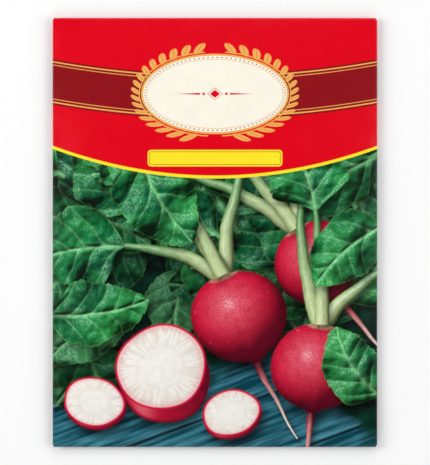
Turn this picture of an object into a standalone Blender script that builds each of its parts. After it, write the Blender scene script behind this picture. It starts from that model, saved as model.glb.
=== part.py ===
"""A filled seed packet lying on its back, front print up.

One sheet of paper is the whole envelope. Its blank is a cross: the front panel in the middle, the back
panel folded under from the left, a narrow side flap folded under from the right and glued outside the
back panel, and a bottom and a top flap folded under last and glued over both. Radish seed fills it.
Metres, +Z up, +Y towards the packet's top edge, origin under the middle of the belly it rests on.
"""

import math

import bmesh
import bpy
import numpy as np
from mathutils import Vector

# Driving dimensions of the packet
PACKET_WIDTH = 0.121
PACKET_HEIGHT = 0.160
BELLY_THICKNESS = 0.0070
PAPER = 0.0003
GLUE = 0.0002
CLEARANCE = 0.00015
SIDE_FLAP_WIDTH = 0.0125
BOTTOM_FLAP_DEPTH = 0.016
TOP_FLAP_DEPTH = 0.019
FLAP_TAPER = 0.07
RIM_LIFT = 0.0004
RIM_SPACE = 0.0004

# The flat belly under the seed, and how far out the back panel has risen to the rim
BELLY_HALF_X, RISEN_HALF_X = 0.034, 0.0455
BELLY_HALF_Y, RISEN_HALF_Y = 0.036, 0.058
CROWN_POWER_X, CROWN_POWER_Y = 3.0, 2.5

# Heights of the layers' middle surfaces at the rim, from the floor up
LAYER_PITCH = PAPER + GLUE + 2 * CLEARANCE
END_FLAP_OVER_SEAM_Z = RIM_LIFT + PAPER / 2
SIDE_FLAP_Z = END_FLAP_OVER_SEAM_Z + LAYER_PITCH
END_FLAP_Z = SIDE_FLAP_Z
BACK_RIM_Z = SIDE_FLAP_Z + LAYER_PITCH
FRONT_RIM_Z = BACK_RIM_Z + PAPER + RIM_SPACE
BACK_BELLY_Z = PAPER / 2
FRONT_CROWN_Z = BELLY_THICKNESS - PAPER / 2

# Where the flat panels end and the folds begin
LEFT_FOLD_REACH = (FRONT_RIM_Z - BACK_RIM_Z) / 2
RIGHT_FOLD_REACH = (FRONT_RIM_Z - SIDE_FLAP_Z) / 2
END_FOLD_REACH = (FRONT_RIM_Z - END_FLAP_OVER_SEAM_Z) / 2
PANEL_LEFT = -PACKET_WIDTH / 2 + PAPER / 2 + LEFT_FOLD_REACH
PANEL_RIGHT = PACKET_WIDTH / 2 - PAPER / 2 - RIGHT_FOLD_REACH
PANEL_TOP = PACKET_HEIGHT / 2 - PAPER / 2 - END_FOLD_REACH
SEAM_EDGE = PANEL_RIGHT - SIDE_FLAP_WIDTH
STEP_START, STEP_END = SEAM_EDGE - 0.005, SEAM_EDGE - 0.001

# The grid that the blank is cut from
FRONT_STEPS, BACK_STEPS, PANEL_ROWS = 17, 15, 22
SIDE_FLAP_STEPS, END_FLAP_STEPS, FOLD_STEPS = 2, 3, 5

# The seed: a settled mass with single seeds standing out of it
SEED_RADIUS = 0.0014
SEED_SUNK = 0.0005
SEED_COUNT = 190
SEED_SPREAD_X, SEED_SPREAD_Y = 0.043, 0.057
SEED_TURNS = 7
MASS_HALF_X, MASS_HALF_Y = 0.051, 0.068
MASS_SQUARENESS = 3.0
MASS_SEGMENTS, MASS_RINGS = 32, 12
PAPER_SPACE = 0.0003
GOLDEN_ANGLE = math.pi * (3 - math.sqrt(5))

# Glue strips stay this far inside the paper that they hold
GLUE_INSET = 0.0025
GLUE_TO_FOLD = 0.003

# Colours and roughness: printed red paper, dried gum, seed coat
PAPER_COLOUR, PAPER_ROUGHNESS = (0.77, 0.0, 0.011), 0.35
GUM_COLOUR, GUM_ROUGHNESS = (0.78, 0.70, 0.52), 0.4
SEED_COLOUR, SEED_ROUGHNESS = (0.30, 0.13, 0.06), 0.6


def clear_scene():
    for thing in list(bpy.data.objects):
        bpy.data.objects.remove(thing, do_unlink=True)


def collection_named(name):
    made = bpy.data.collections.new(name)
    bpy.context.scene.collection.children.link(made)
    return made


def move_to(thing, collection):
    """Takes an object out of the collections it is in, and puts it in this one."""
    for owner in list(thing.users_collection):
        owner.objects.unlink(thing)
    collection.objects.link(thing)


def plain_material(name, colour, roughness):
    material = bpy.data.materials.new(name)
    material.use_nodes = True
    shader = material.node_tree.nodes["Principled BSDF"]
    shader.inputs["Base Color"].default_value = (*colour, 1.0)
    shader.inputs["Roughness"].default_value = roughness
    shader.inputs["Metallic"].default_value = 0.0
    return material


def smooth(value):
    """0 below 0, 1 above 1, and an even S between."""
    t = min(max(value, 0.0), 1.0)
    return t * t * (3 - 2 * t)


def back_height(x, y):
    """Middle surface of the back panel: flat on the floor under the belly, and level at the rim."""
    settled_x = 1 - smooth((abs(x) - BELLY_HALF_X) / (RISEN_HALF_X - BELLY_HALF_X))
    settled_y = 1 - smooth((abs(y) - BELLY_HALF_Y) / (RISEN_HALF_Y - BELLY_HALF_Y))
    return BACK_RIM_Z + (BACK_BELLY_Z - BACK_RIM_Z) * settled_x * settled_y


def front_height(x, y):
    """Middle surface of the front panel: a low pillow that meets the rim on all four sides."""
    across = (2 * x - PANEL_LEFT - PANEL_RIGHT) / (PANEL_RIGHT - PANEL_LEFT)
    along = y / PANEL_TOP
    swell_x = 1 - min(abs(across), 1.0) ** CROWN_POWER_X
    swell_y = 1 - min(abs(along), 1.0) ** CROWN_POWER_Y
    return FRONT_RIM_Z + (FRONT_CROWN_Z - FRONT_RIM_Z) * swell_x * swell_y


def end_flap_height(x):
    """Middle surface of the top and bottom flaps: one layer lower where the side flap lies under them."""
    step = smooth((x - STEP_START) / (STEP_END - STEP_START))
    return END_FLAP_Z + (END_FLAP_OVER_SEAM_Z - END_FLAP_Z) * step


def spaced(start, end, steps, extra=()):
    """Even stations from start to end, with any extra ones put in order between them."""
    values = list(np.linspace(start, end, steps + 1)) + list(extra)
    return sorted(values, reverse=end < start)


def blank_columns():
    """The blank's columns from the back panel's free edge, round the left fold, to the side flap's edge."""
    back = [("back", x) for x in spaced(PANEL_RIGHT, PANEL_LEFT, BACK_STEPS)]
    left = [("left_fold", k / FOLD_STEPS) for k in range(1, FOLD_STEPS)]
    step_stations = (STEP_START, (STEP_START + STEP_END) / 2, STEP_END)
    front = [("front", x) for x in spaced(PANEL_LEFT, PANEL_RIGHT, FRONT_STEPS, step_stations)]
    right = [("right_fold", k / FOLD_STEPS) for k in range(1, FOLD_STEPS)]
    flap = [("side_flap", x) for x in spaced(PANEL_RIGHT, SEAM_EDGE, SIDE_FLAP_STEPS)]
    return back + left + front + right + flap


def blank_rows():
    """The blank's rows from the bottom flap's free edge, over the panels, to the top flap's edge."""
    flap_shares = [k / END_FLAP_STEPS for k in range(END_FLAP_STEPS + 1)]
    fold_shares = [k / FOLD_STEPS for k in range(1, FOLD_STEPS)]
    bottom_flap = [("bottom_flap", share) for share in reversed(flap_shares)]
    bottom_fold = [("bottom_fold", share) for share in reversed(fold_shares)]
    panel = [("panel", y) for y in spaced(-PANEL_TOP, PANEL_TOP, PANEL_ROWS)]
    top_fold = [("top_fold", share) for share in fold_shares]
    top_flap = [("top_flap", share) for share in flap_shares]
    return bottom_flap + bottom_fold + panel + top_fold + top_flap


def rolled(start, reach, upper, lower, share):
    """A half turn from the upper layer to the lower one: (distance along, height) at a share of the turn."""
    turn = math.pi * share
    along = start + reach * math.sin(turn)
    height = (upper + lower) / 2 + (upper - lower) / 2 * math.cos(turn)
    return along, height


def panel_point(column, y):
    zone, value = column
    if zone == "back":
        return value, y, back_height(value, y)
    if zone == "front":
        return value, y, front_height(value, y)
    if zone == "side_flap":
        return value, y, SIDE_FLAP_Z
    if zone == "left_fold":
        x, z = rolled(PANEL_LEFT, -LEFT_FOLD_REACH, FRONT_RIM_Z, BACK_RIM_Z, 1 - value)
    else:
        x, z = rolled(PANEL_RIGHT, RIGHT_FOLD_REACH, FRONT_RIM_Z, SIDE_FLAP_Z, value)
    return x, y, z


def end_point(x, row):
    """A point of a folded end: side is +1 at the packet's top and -1 at its bottom."""
    zone, share = row
    side = 1 if zone.startswith("top") else -1
    lower = end_flap_height(x)
    if zone.endswith("fold"):
        y, z = rolled(side * PANEL_TOP, side * END_FOLD_REACH, FRONT_RIM_Z, lower, share)
        return x, y, z
    depth = TOP_FLAP_DEPTH if side > 0 else BOTTOM_FLAP_DEPTH
    return x * (1 - FLAP_TAPER * share), side * (PANEL_TOP - depth * share), lower


def grid_indices(bm, columns, rows):
    """Each vertex of a fresh unit grid with its column and row number."""
    corners = [vert.co for vert in bm.verts]
    low = Vector((min(c.x for c in corners), min(c.y for c in corners), 0))
    span_x = max(c.x for c in corners) - low.x
    span_y = max(c.y for c in corners) - low.y
    for vert in list(bm.verts):
        column = round((vert.co.x - low.x) / span_x * (columns - 1))
        row = round((vert.co.y - low.y) / span_y * (rows - 1))
        yield vert, column, row


def solid_sheet(name, bm, thickness, material, collection):
    """An object of an open surface, given its thickness evenly to both sides."""
    mesh = bpy.data.meshes.new(name)
    bm.to_mesh(mesh)
    bm.free()
    mesh.materials.append(material)
    mesh.shade_smooth()
    thing = bpy.data.objects.new(name, mesh)
    collection.objects.link(thing)
    wall = thing.modifiers.new("thickness", "SOLIDIFY")
    wall.thickness = thickness
    wall.offset = 0.0
    wall.use_even_offset = True
    return thing


def make_sheet(collection):
    """The envelope: a flat grid with its four corners cut out, then folded."""
    columns, rows = blank_columns(), blank_rows()
    bm = bmesh.new()
    bmesh.ops.create_grid(bm, x_segments=len(columns) - 1, y_segments=len(rows) - 1, size=1.0)
    cut_out = []
    for vert, i, j in grid_indices(bm, len(columns), len(rows)):
        column, row = columns[i], rows[j]
        if row[0] == "panel":
            vert.co = panel_point(column, row[1])
        elif column[0] == "front":
            vert.co = end_point(column[1], row)
        else:
            cut_out.append(vert)
    bmesh.ops.delete(bm, geom=cut_out, context="VERTS")
    paper = plain_material("coated_paper", PAPER_COLOUR, PAPER_ROUGHNESS)
    return solid_sheet("packet_sheet", bm, PAPER, paper, collection)


def glue_strip(name, stations, y_ends, material, collection):
    """A strip of dried glue between two layers of paper, from its (x, height) stations and its two ends."""
    bm = bmesh.new()
    bmesh.ops.create_grid(bm, x_segments=len(stations) - 1, y_segments=1, size=1.0)
    for vert, i, j in grid_indices(bm, len(stations), 2):
        x, height = stations[i]
        vert.co = (x, y_ends[j], height)
    return solid_sheet(name, bm, GLUE, material, collection)


def make_seam_glue(material, collection):
    """The strip between the side flap and the back panel."""
    height = (SIDE_FLAP_Z + BACK_RIM_Z) / 2
    stations = [(SEAM_EDGE + GLUE_INSET, height), (PANEL_RIGHT - GLUE_INSET, height)]
    reach = PANEL_TOP - GLUE_TO_FOLD
    glue_strip("side_seam_glue", stations, (-reach, reach), material, collection)


def make_flap_glue(name, side, depth, material, collection):
    """The strip over an end flap: side is +1 at the packet's top and -1 at its bottom."""
    left, right = PANEL_LEFT * (1 - FLAP_TAPER), PANEL_RIGHT * (1 - FLAP_TAPER)
    across = [left + GLUE_INSET, STEP_START, (STEP_START + STEP_END) / 2, STEP_END, right - GLUE_INSET]
    stations = [(x, end_flap_height(x) + LAYER_PITCH / 2) for x in across]
    free_end = side * (PANEL_TOP - depth + GLUE_INSET)
    folded_end = side * (PANEL_TOP - GLUE_TO_FOLD)
    glue_strip(name, stations, sorted((free_end, folded_end)), material, collection)


def make_glue(collection):
    gum = plain_material("dried_gum", GUM_COLOUR, GUM_ROUGHNESS)
    make_seam_glue(gum, collection)
    make_flap_glue("bottom_flap_glue", -1, BOTTOM_FLAP_DEPTH, gum, collection)
    make_flap_glue("top_flap_glue", 1, TOP_FLAP_DEPTH, gum, collection)


def mass_thickness(x, y):
    """(lowest, highest) height that the seed mass may take over a point, clear of both panels."""
    seed_stands = SEED_RADIUS - SEED_SUNK
    low = back_height(x, y) + PAPER / 2 + PAPER_SPACE
    high = front_height(x, y) - PAPER / 2 - PAPER_SPACE - seed_stands
    return low, max(high, low + PAPER_SPACE)


def make_mass(collection):
    """The settled seed: a sphere pressed to a rounded rectangle and to the space between the panels."""
    bpy.ops.mesh.primitive_uv_sphere_add(segments=MASS_SEGMENTS, ring_count=MASS_RINGS, radius=1.0)
    mass = bpy.context.active_object
    mass.name = mass.data.name = "radish_seed"
    for vert in mass.data.vertices:
        flat = Vector((vert.co.x, vert.co.y))
        out = min(flat.length, 1.0)
        turn = math.atan2(flat.y, flat.x)
        rounding = abs(math.cos(turn)) ** MASS_SQUARENESS + abs(math.sin(turn)) ** MASS_SQUARENESS
        reach = out * rounding ** (-1 / MASS_SQUARENESS)
        x = MASS_HALF_X * reach * math.cos(turn)
        y = MASS_HALF_Y * reach * math.sin(turn)
        low, high = mass_thickness(x, y)
        vert.co = (x, y, (low + high) / 2 + vert.co.z * (high - low) / 2)
    move_to(mass, collection)
    return mass


def scatter_seeds(collection):
    """Single seeds, spaced evenly by a golden-angle spiral and sunk into the top of the mass."""
    rng = np.random.default_rng(SEED_TURNS)
    for k in range(SEED_COUNT):
        out = math.sqrt((k + 0.5) / SEED_COUNT)
        turn = k * GOLDEN_ANGLE
        x = SEED_SPREAD_X * out * math.cos(turn)
        y = SEED_SPREAD_Y * out * math.sin(turn)
        top = mass_thickness(x, y)[1]
        bpy.ops.mesh.primitive_ico_sphere_add(
            subdivisions=1,
            radius=SEED_RADIUS,
            location=(x, y, top - SEED_SUNK),
            rotation=rng.uniform(0, math.pi, 3),
        )
        move_to(bpy.context.active_object, collection)


def make_seed(collection):
    """The seed mass with its standing seeds joined into one solid."""
    mass = make_mass(collection)
    singles = collection_named("single_seeds")
    scatter_seeds(singles)
    join = mass.modifiers.new("join seeds", "BOOLEAN")
    join.operation = "UNION"
    join.operand_type = "COLLECTION"
    join.collection = singles
    join.solver = "EXACT"
    graph = bpy.context.evaluated_depsgraph_get()
    joined = bpy.data.meshes.new_from_object(mass.evaluated_get(graph))
    joined.name = "radish_seed"
    mass.modifiers.clear()
    mass.data = joined
    mass.data.materials.clear()
    mass.data.materials.append(plain_material("seed_coat", SEED_COLOUR, SEED_ROUGHNESS))
    for seed in list(singles.objects):
        bpy.data.objects.remove(seed, do_unlink=True)
    bpy.data.collections.remove(singles)
    return mass


def main():
    clear_scene()
    packet = collection_named("seed_packet")
    make_sheet(packet)
    make_glue(packet)
    make_seed(packet)


main()
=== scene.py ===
"""The looks of a printed paper seed packet lying on its back, front print up.

The packet is one sheet of coated paper, folded and gummed shut round its seed. Everything here is worked out
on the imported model's own places. Lengths below are in millimetres unless a name or comment says metres.
"""

from collections import namedtuple
from functools import reduce

import bpy
import numpy as np
from bpy.props import FloatProperty, FloatVectorProperty, PointerProperty
from bpy.types import Operator, Panel, PropertyGroup
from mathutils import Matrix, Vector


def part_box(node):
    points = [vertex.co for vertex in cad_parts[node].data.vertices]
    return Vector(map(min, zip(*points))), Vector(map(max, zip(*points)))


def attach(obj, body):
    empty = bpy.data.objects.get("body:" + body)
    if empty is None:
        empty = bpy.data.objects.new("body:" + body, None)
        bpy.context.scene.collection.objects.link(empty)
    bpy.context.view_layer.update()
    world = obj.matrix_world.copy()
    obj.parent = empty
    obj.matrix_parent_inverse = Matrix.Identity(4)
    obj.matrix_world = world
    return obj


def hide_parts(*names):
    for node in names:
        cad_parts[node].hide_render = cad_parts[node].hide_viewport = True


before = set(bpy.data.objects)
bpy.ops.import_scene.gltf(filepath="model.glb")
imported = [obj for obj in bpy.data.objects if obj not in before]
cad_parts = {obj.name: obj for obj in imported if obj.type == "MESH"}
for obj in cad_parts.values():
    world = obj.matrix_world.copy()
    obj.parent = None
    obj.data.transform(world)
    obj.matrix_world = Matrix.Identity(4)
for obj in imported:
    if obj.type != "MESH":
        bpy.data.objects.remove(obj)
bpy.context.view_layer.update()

bl_info = {
    "name": "Paper seed packet",
    "version": (1, 0, 0),
    "blender": (4, 5, 0),
    "location": "3D View > Sidebar > Seed packet",
    "description": "Folds, prints, gums and fills a paper seed packet on its packed model",
    "category": "Object",
}

METRES = 0.001

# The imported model's outline, in millimetres
SHEET_LOW, SHEET_HIGH = (np.array(corner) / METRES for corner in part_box("packet_sheet"))
WIDTH, HEIGHT, THICKNESS = SHEET_HIGH - SHEET_LOW
SEAM_LOW, SEAM_HIGH = (np.array(corner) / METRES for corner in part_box("side_seam_glue"))
BOTTOM_GUM_LOW, BOTTOM_GUM_HIGH = (np.array(corner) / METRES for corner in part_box("bottom_flap_glue"))
TOP_GUM_LOW, TOP_GUM_HIGH = (np.array(corner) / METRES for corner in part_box("top_flap_glue"))

# How far the flaps reach, and how much narrower their free ends are
SIDE_FLAP_WIDTH = 12.5
BOTTOM_FLAP_DEPTH, TOP_FLAP_DEPTH = 16.0, 19.0
FLAP_TAPER = 0.07

# Heights of the layers' middle surfaces where they are gummed together at the rim, and of the front's crown
LAYER_PITCH = 0.32
RIM_OPENING = 0.45
CROWN_DROP = 0.45
SEAM_COVER_Z = 1.15
SIDE_FLAP_Z = SEAM_COVER_Z + LAYER_PITCH
END_FLAP_Z = SIDE_FLAP_Z
BACK_RIM_Z = SIDE_FLAP_Z + LAYER_PITCH
FRONT_RIM_Z = BACK_RIM_Z + RIM_OPENING
CROWN_Z = THICKNESS - CROWN_DROP

# The flat belly under the seed, and how far out the back panel has risen to the rim
BELLY_X, RISEN_X = 34.0, 45.5
BELLY_Y, RISEN_Y = 36.0, 58.0

# Where the flat panels end and the folds begin: a fold reaches out by half the height that it turns through
LEFT_REACH = (FRONT_RIM_Z - BACK_RIM_Z) / 2
RIGHT_REACH = (FRONT_RIM_Z - SIDE_FLAP_Z) / 2
END_REACH = (FRONT_RIM_Z - SEAM_COVER_Z) / 2
EDGE_SPACE = 0.15
LEFT = SHEET_LOW[0] + EDGE_SPACE + LEFT_REACH
RIGHT = SHEET_HIGH[0] - EDGE_SPACE - RIGHT_REACH
TOP = SHEET_HIGH[1] - EDGE_SPACE - END_REACH
SEAM_EDGE = RIGHT - SIDE_FLAP_WIDTH

# Between these places the end flaps step down over the side flap's edge
STEP_START, STEP_END = SEAM_EDGE - 4.0, SEAM_EDGE - 0.6

# The unfolded sheet: how much paper each half turn takes, and where its panels begin and end
LEFT_TURN, RIGHT_TURN, END_TURN = (np.pi * reach for reach in (LEFT_REACH, RIGHT_REACH, END_REACH))
FLAT_BACK_EDGE = LEFT - LEFT_TURN - (RIGHT - LEFT)
FLAT_FLAP_EDGE = RIGHT + RIGHT_TURN + SIDE_FLAP_WIDTH
FLAT_BOTTOM = -TOP - END_TURN - BOTTOM_FLAP_DEPTH
FLAT_TOP = TOP + END_TURN + TOP_FLAP_DEPTH

# The print: the head's arched lower edge, which rises by HEAD_ARCH at ARCH_REACH to both sides, the height
# up to which the picture is painted, how far the print runs on round a fold, and the width of a rule
HEAD_FOOT, HEAD_ARCH, ARCH_REACH = 20.0, 11.0, 60.0
PICTURE_TOP = 32.0
BLEED = 1.4
RULE_WIDTH = 1.15


# Small mathematics on whole arrays

LATTICE_SIZE = 256
LATTICE = np.random.default_rng(11).uniform(0, 2 * np.pi, (LATTICE_SIZE, LATTICE_SIZE))
SEED_SHIFT_X, SEED_SHIFT_Y = 17.3, 9.7
NOISE_GAIN = 1.4


def noise(x, y, seed=0):
    """Gradient noise, about -0.7 to 0.7: random slopes at a unit lattice's corners, blended between them."""
    x, y = x + SEED_SHIFT_X * seed, y + SEED_SHIFT_Y * seed
    i, j = np.floor(x).astype(int), np.floor(y).astype(int)
    u, v = x - i, y - j
    share_x, share_y = u * u * (3 - 2 * u), v * v * (3 - 2 * v)
    total = 0
    for a in (0, 1):
        for b in (0, 1):
            turn = LATTICE[(i + a) % LATTICE_SIZE, (j + b) % LATTICE_SIZE]
            slope = np.cos(turn) * (u - a) + np.sin(turn) * (v - b)
            total = total + slope * (share_x if a else 1 - share_x) * (share_y if b else 1 - share_y)
    return NOISE_GAIN * total


def clouds(x, y, seed=0, octaves=3):
    """Noise added to itself at twice the pitch and half the strength, for each octave."""
    return sum(0.5**k * noise(x * 2**k, y * 2**k, seed + k) for k in range(octaves))


def ramp(value, low, high):
    """0 at low and below, 1 at high and above, and an even S between. Low may be the larger."""
    t = np.clip((value - low) / (high - low), 0, 1)
    return t * t * (3 - 2 * t)


def bell(value, width):
    """1 at zero, and falling off to both sides as a Gaussian of that width."""
    return np.exp(-((value / width) ** 2))


def mix(a, b, share):
    """Colour a where share is 0 and colour b where it is 1."""
    return a + (b - a) * np.asarray(share)[..., None]


def rgb(red, green, blue):
    """A colour's linear values from its 0 to 255 display values."""
    c = np.array([red, green, blue]) / 255.0
    return np.where(c <= 0.04045, c / 12.92, ((c + 0.055) / 1.055) ** 2.4)


def unit(vector):
    """The same direction, one long."""
    return vector / np.linalg.norm(vector)


# The picture on the front: a made-up still life, painted onto the grid of the sheet

SUN = unit(np.array([-0.42, 0.50, 0.76]))
HALFWAY = unit(SUN + [0, 0, 1])

# The softness of a painted edge, how far right and down each kind of motif throws its shadow, and how dark
INK_EDGE = 0.26
LEAF_THROW, ROD_THROW, ROOT_THROW, CUT_THROW = (1.3, 1.8), (1.0, 1.5), (2.2, 3.2), (1.8, 2.6)
THIN_SHADOW, THICK_SHADOW = 0.65, 0.8

# A leaf's teeth and side veins, and the rings round a thin root
TOOTH_LENGTH, VEIN_PAIRS = 2.9, 5.5
RING_SPACING = 3.1

DEEP_LEAF, LEAF, FRESH_LEAF = rgb(0, 72, 46), rgb(4, 122, 60), rgb(58, 164, 72)
VEIN, LEAF_MARGIN = rgb(118, 192, 128), rgb(120, 184, 96)
LEAF_SHEEN, LEAF_GLINT = rgb(60, 190, 130), rgb(176, 224, 190)
STALK_FOOT, STALK_TOP, STALK_SHEEN = rgb(200, 218, 154), rgb(70, 150, 78), rgb(238, 242, 222)
SKIN_SHADE, SKIN_LOW, SKIN = rgb(92, 2, 26), rgb(158, 8, 40), rgb(204, 14, 56)
SKIN_BLOOM, SKIN_SHEEN, SCAR = rgb(236, 118, 134), rgb(250, 214, 216), rgb(190, 162, 128)
FLESH, FLESH_RAY, FLESH_BLUSH = rgb(250, 246, 240), rgb(226, 212, 196), rgb(240, 168, 176)
TAIL_FOOT, TAIL_TIP = rgb(190, 22, 66), rgb(246, 232, 216)
BOARD_LOW, BOARD_HIGH, BOARD_EDGE = rgb(0, 66, 82), rgb(70, 142, 160), rgb(140, 190, 200)
GLOOM_LOW, GLOOM_HIGH = rgb(0, 12, 10), rgb(2, 52, 36)

# A motif's place and form. Leaves and rods lie along an arc that starts at base, heads that way in degrees,
# and turns by bend over its length. A top is a stalk and its leaf, and its heading is from its root's crown.
Leaf = namedtuple("Leaf", "base heading length width bend seed")
Rod = namedtuple("Rod", "base heading length bend thick thin power seed")
Top = namedtuple("Top", "heading length bend leaf_length leaf_width leaf_bend")
Root = namedtuple("Root", "centre radius crown seed")
Cut = namedtuple("Cut", "centre radius turn squash thickness seed")
Foliage = namedtuple("Foliage", "count floor right headings tones length width seed")

# The picture's layout from the back to the front, in millimetres from the front's middle
GOLDEN_SHARE = 0.618034
FOLIAGE_LEFT, FOLIAGE_TOP = -64, 40
FOLIAGE = (
    Foliage(30, -46, 64, (0, 360), (0.25, 0.50), 36, 12, 100),
    Foliage(22, -36, 64, (30, 230), (0.55, 0.85), 38, 13, 200),
    Foliage(10, -20, 20, (80, 200), (0.85, 1.00), 40, 14, 300),
)

# Each plant's root, the tops behind its crown and its tail's bend, and then the top before every crown
PLANTS = (
    (
        Root(np.array([38, -11]), 16.2, 122, 3),
        (Top(-34, 36, 22, 34, 12, 20), Top(20, 44, 22, 38, 14, 30)),
        22,
    ),
    (
        Root(np.array([9, -31]), 17.8, 112, 5),
        (Top(-24, 44, -16, 36, 13, -20), Top(34, 36, 30, 40, 15, 25), Top(6, 46, 14, 36, 14, 24)),
        10,
    ),
    (
        Root(np.array([38, -50]), 17.2, 84, 9),
        (Top(-26, 32, -34, 32, 12, -30), Top(26, 46, -20, 34, 12, -10)),
        -14,
    ),
)
FRONT_TOP = Top(4, 40, 10, 36, 14, 24)
BACK_STALK, FRONT_STALK, STALK_TAPER = 3.0, 2.8, 0.36
TAIL_LENGTH, TAIL_THICK, TAIL_THIN = 34, 2.7, 0.24

CUTS = (
    Cut((-20, -50), 17.0, 20, 0.93, 5.0, 4),
    Cut((-45, -63), 11.5, -10, 0.80, 1.3, 6),
    Cut((6, -67), 11.0, 15, 0.78, 1.3, 7),
)
FRONT_LEAVES = (
    Leaf((-66, -30), -8, 42, 12, 30, 401),
    Leaf((64, -62), 150, 34, 11, -50, 402),
    Leaf((66, 4), 200, 38, 12, 40, 403),
    Leaf((-30, 34), -75, 44, 15, 30, 404),
)


def shine(nx, ny, nz):
    """(light, gloss): how squarely a surface faces the picture's sun, and the way halfway to the eye."""
    light = np.clip(nx * SUN[0] + ny * SUN[1] + nz * SUN[2], 0, 1)
    gloss = np.clip(nx * HALFWAY[0] + ny * HALFWAY[1] + nz * HALFWAY[2], 0, 1)
    return light, gloss


def relief_shine(height, x, y):
    """The same for a height drawn over the grid, whose normal leans against the slope."""
    rise_y, rise_x = np.gradient(height)
    nx, ny = -rise_x / np.gradient(x, axis=1), -rise_y / np.gradient(y, axis=0)
    nz = 1 / np.sqrt(1 + nx**2 + ny**2)
    return shine(nx * nz, ny * nz, nz)


def along_arc(x, y, base, heading, bend, length):
    """(distance along, distance across) an arc: the angle round its centre, and the gap to its radius."""
    turn, curve = np.radians(heading), np.radians(bend) / length
    dx, dy = x - base[0], y - base[1]
    ahead = dx * np.cos(turn) + dy * np.sin(turn)
    aside = -dx * np.sin(turn) + dy * np.cos(turn)
    if abs(curve) < 1e-4:
        return ahead, aside
    side, curve = np.sign(curve), abs(curve)
    aside = aside * side
    out = np.hypot(ahead, 1 / curve - aside)
    return np.arctan2(ahead, 1 / curve - aside) / curve, (1 / curve - out) * side


def arc_end(base, heading, bend, length):
    """Where such an arc ends."""
    turn, swing = np.radians(heading), np.radians(bend)
    if abs(swing) < 1e-4:
        return base[0] + length * np.cos(turn), base[1] + length * np.sin(turn)
    radius = length / swing
    return (
        base[0] + radius * (np.sin(turn + swing) - np.sin(turn)),
        base[1] + radius * (np.cos(turn) - np.cos(turn + swing)),
    )


def arc_middle(base, heading, bend, length):
    """The middle of the straight line between such an arc's ends."""
    end = arc_end(base, heading, bend, length)
    return (base[0] + end[0]) / 2, (base[1] + end[1]) / 2


def mottling(x, y, seed):
    """A function of (scale, number): noise over these places at that scale, one pattern for each number."""
    return lambda scale, number: noise(x * scale, y * scale, seed + number)


class Painting:
    """The ink on a grid of points, laid on one motif after another."""

    def __init__(self, across, up):
        """Takes the grid's places across and up, each in rising order."""
        self.across, self.up = across, up
        self.x, self.y = np.meshgrid(across, up)
        self.ink = np.zeros(self.x.shape + (3,))

    def window(self, centre, reach):
        """The part of the grid round a motif, or None where it lies outside."""
        left, right = np.searchsorted(self.across, (centre[0] - reach, centre[0] + reach))
        low, high = np.searchsorted(self.up, (centre[1] - reach, centre[1] + reach))
        if right - left < 3 or high - low < 3:
            return None
        return slice(low, high), slice(left, right)

    def lay(self, view, inside, colour, shadow, depth):
        """Darkens what is there by the motif's shadow, then covers it where inside is above zero."""
        ink = self.ink[view] * (1 - depth * shadow)[..., None]
        self.ink[view] = mix(ink, colour, np.clip(0.5 + inside / INK_EDGE, 0, 1))


def leaf_outline(x, y, leaf):
    """(inside, along, across, half width): a blade that swells by a sine, with waved lobes and teeth."""
    s, t = along_arc(x, y, leaf.base, leaf.heading, leaf.bend, leaf.length)
    q, side, seed = np.clip(s / leaf.length, 0, 1), np.sign(t), leaf.seed
    blade = np.sin(np.pi * q**0.85) ** 0.62 * ramp(q, 0.0, 0.30)
    wave = 1 + 0.16 * noise(4.5 * q + 3 * side, 0 * q + seed, seed)
    wave = wave + 0.05 * np.sin(2 * np.pi * (2.6 * q + 0.17 * seed) + side)
    tooth = (s / TOOTH_LENGTH + 0.37 * side + 0.35 * noise(s * 0.25, side * 3.1, seed)) % 1
    tooth = tooth**1.4 * ramp(q, 0.12, 0.40) * (0.55 + 0.9 * noise(s * 0.4, side * 5.3, seed + 4))
    half = np.maximum(leaf.width * blade * wave - tooth, 0.55 + 0.6 * (1 - q))
    inside = np.minimum(half - np.abs(t), np.minimum(s, leaf.length - s))
    return inside, s, t, half


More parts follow.
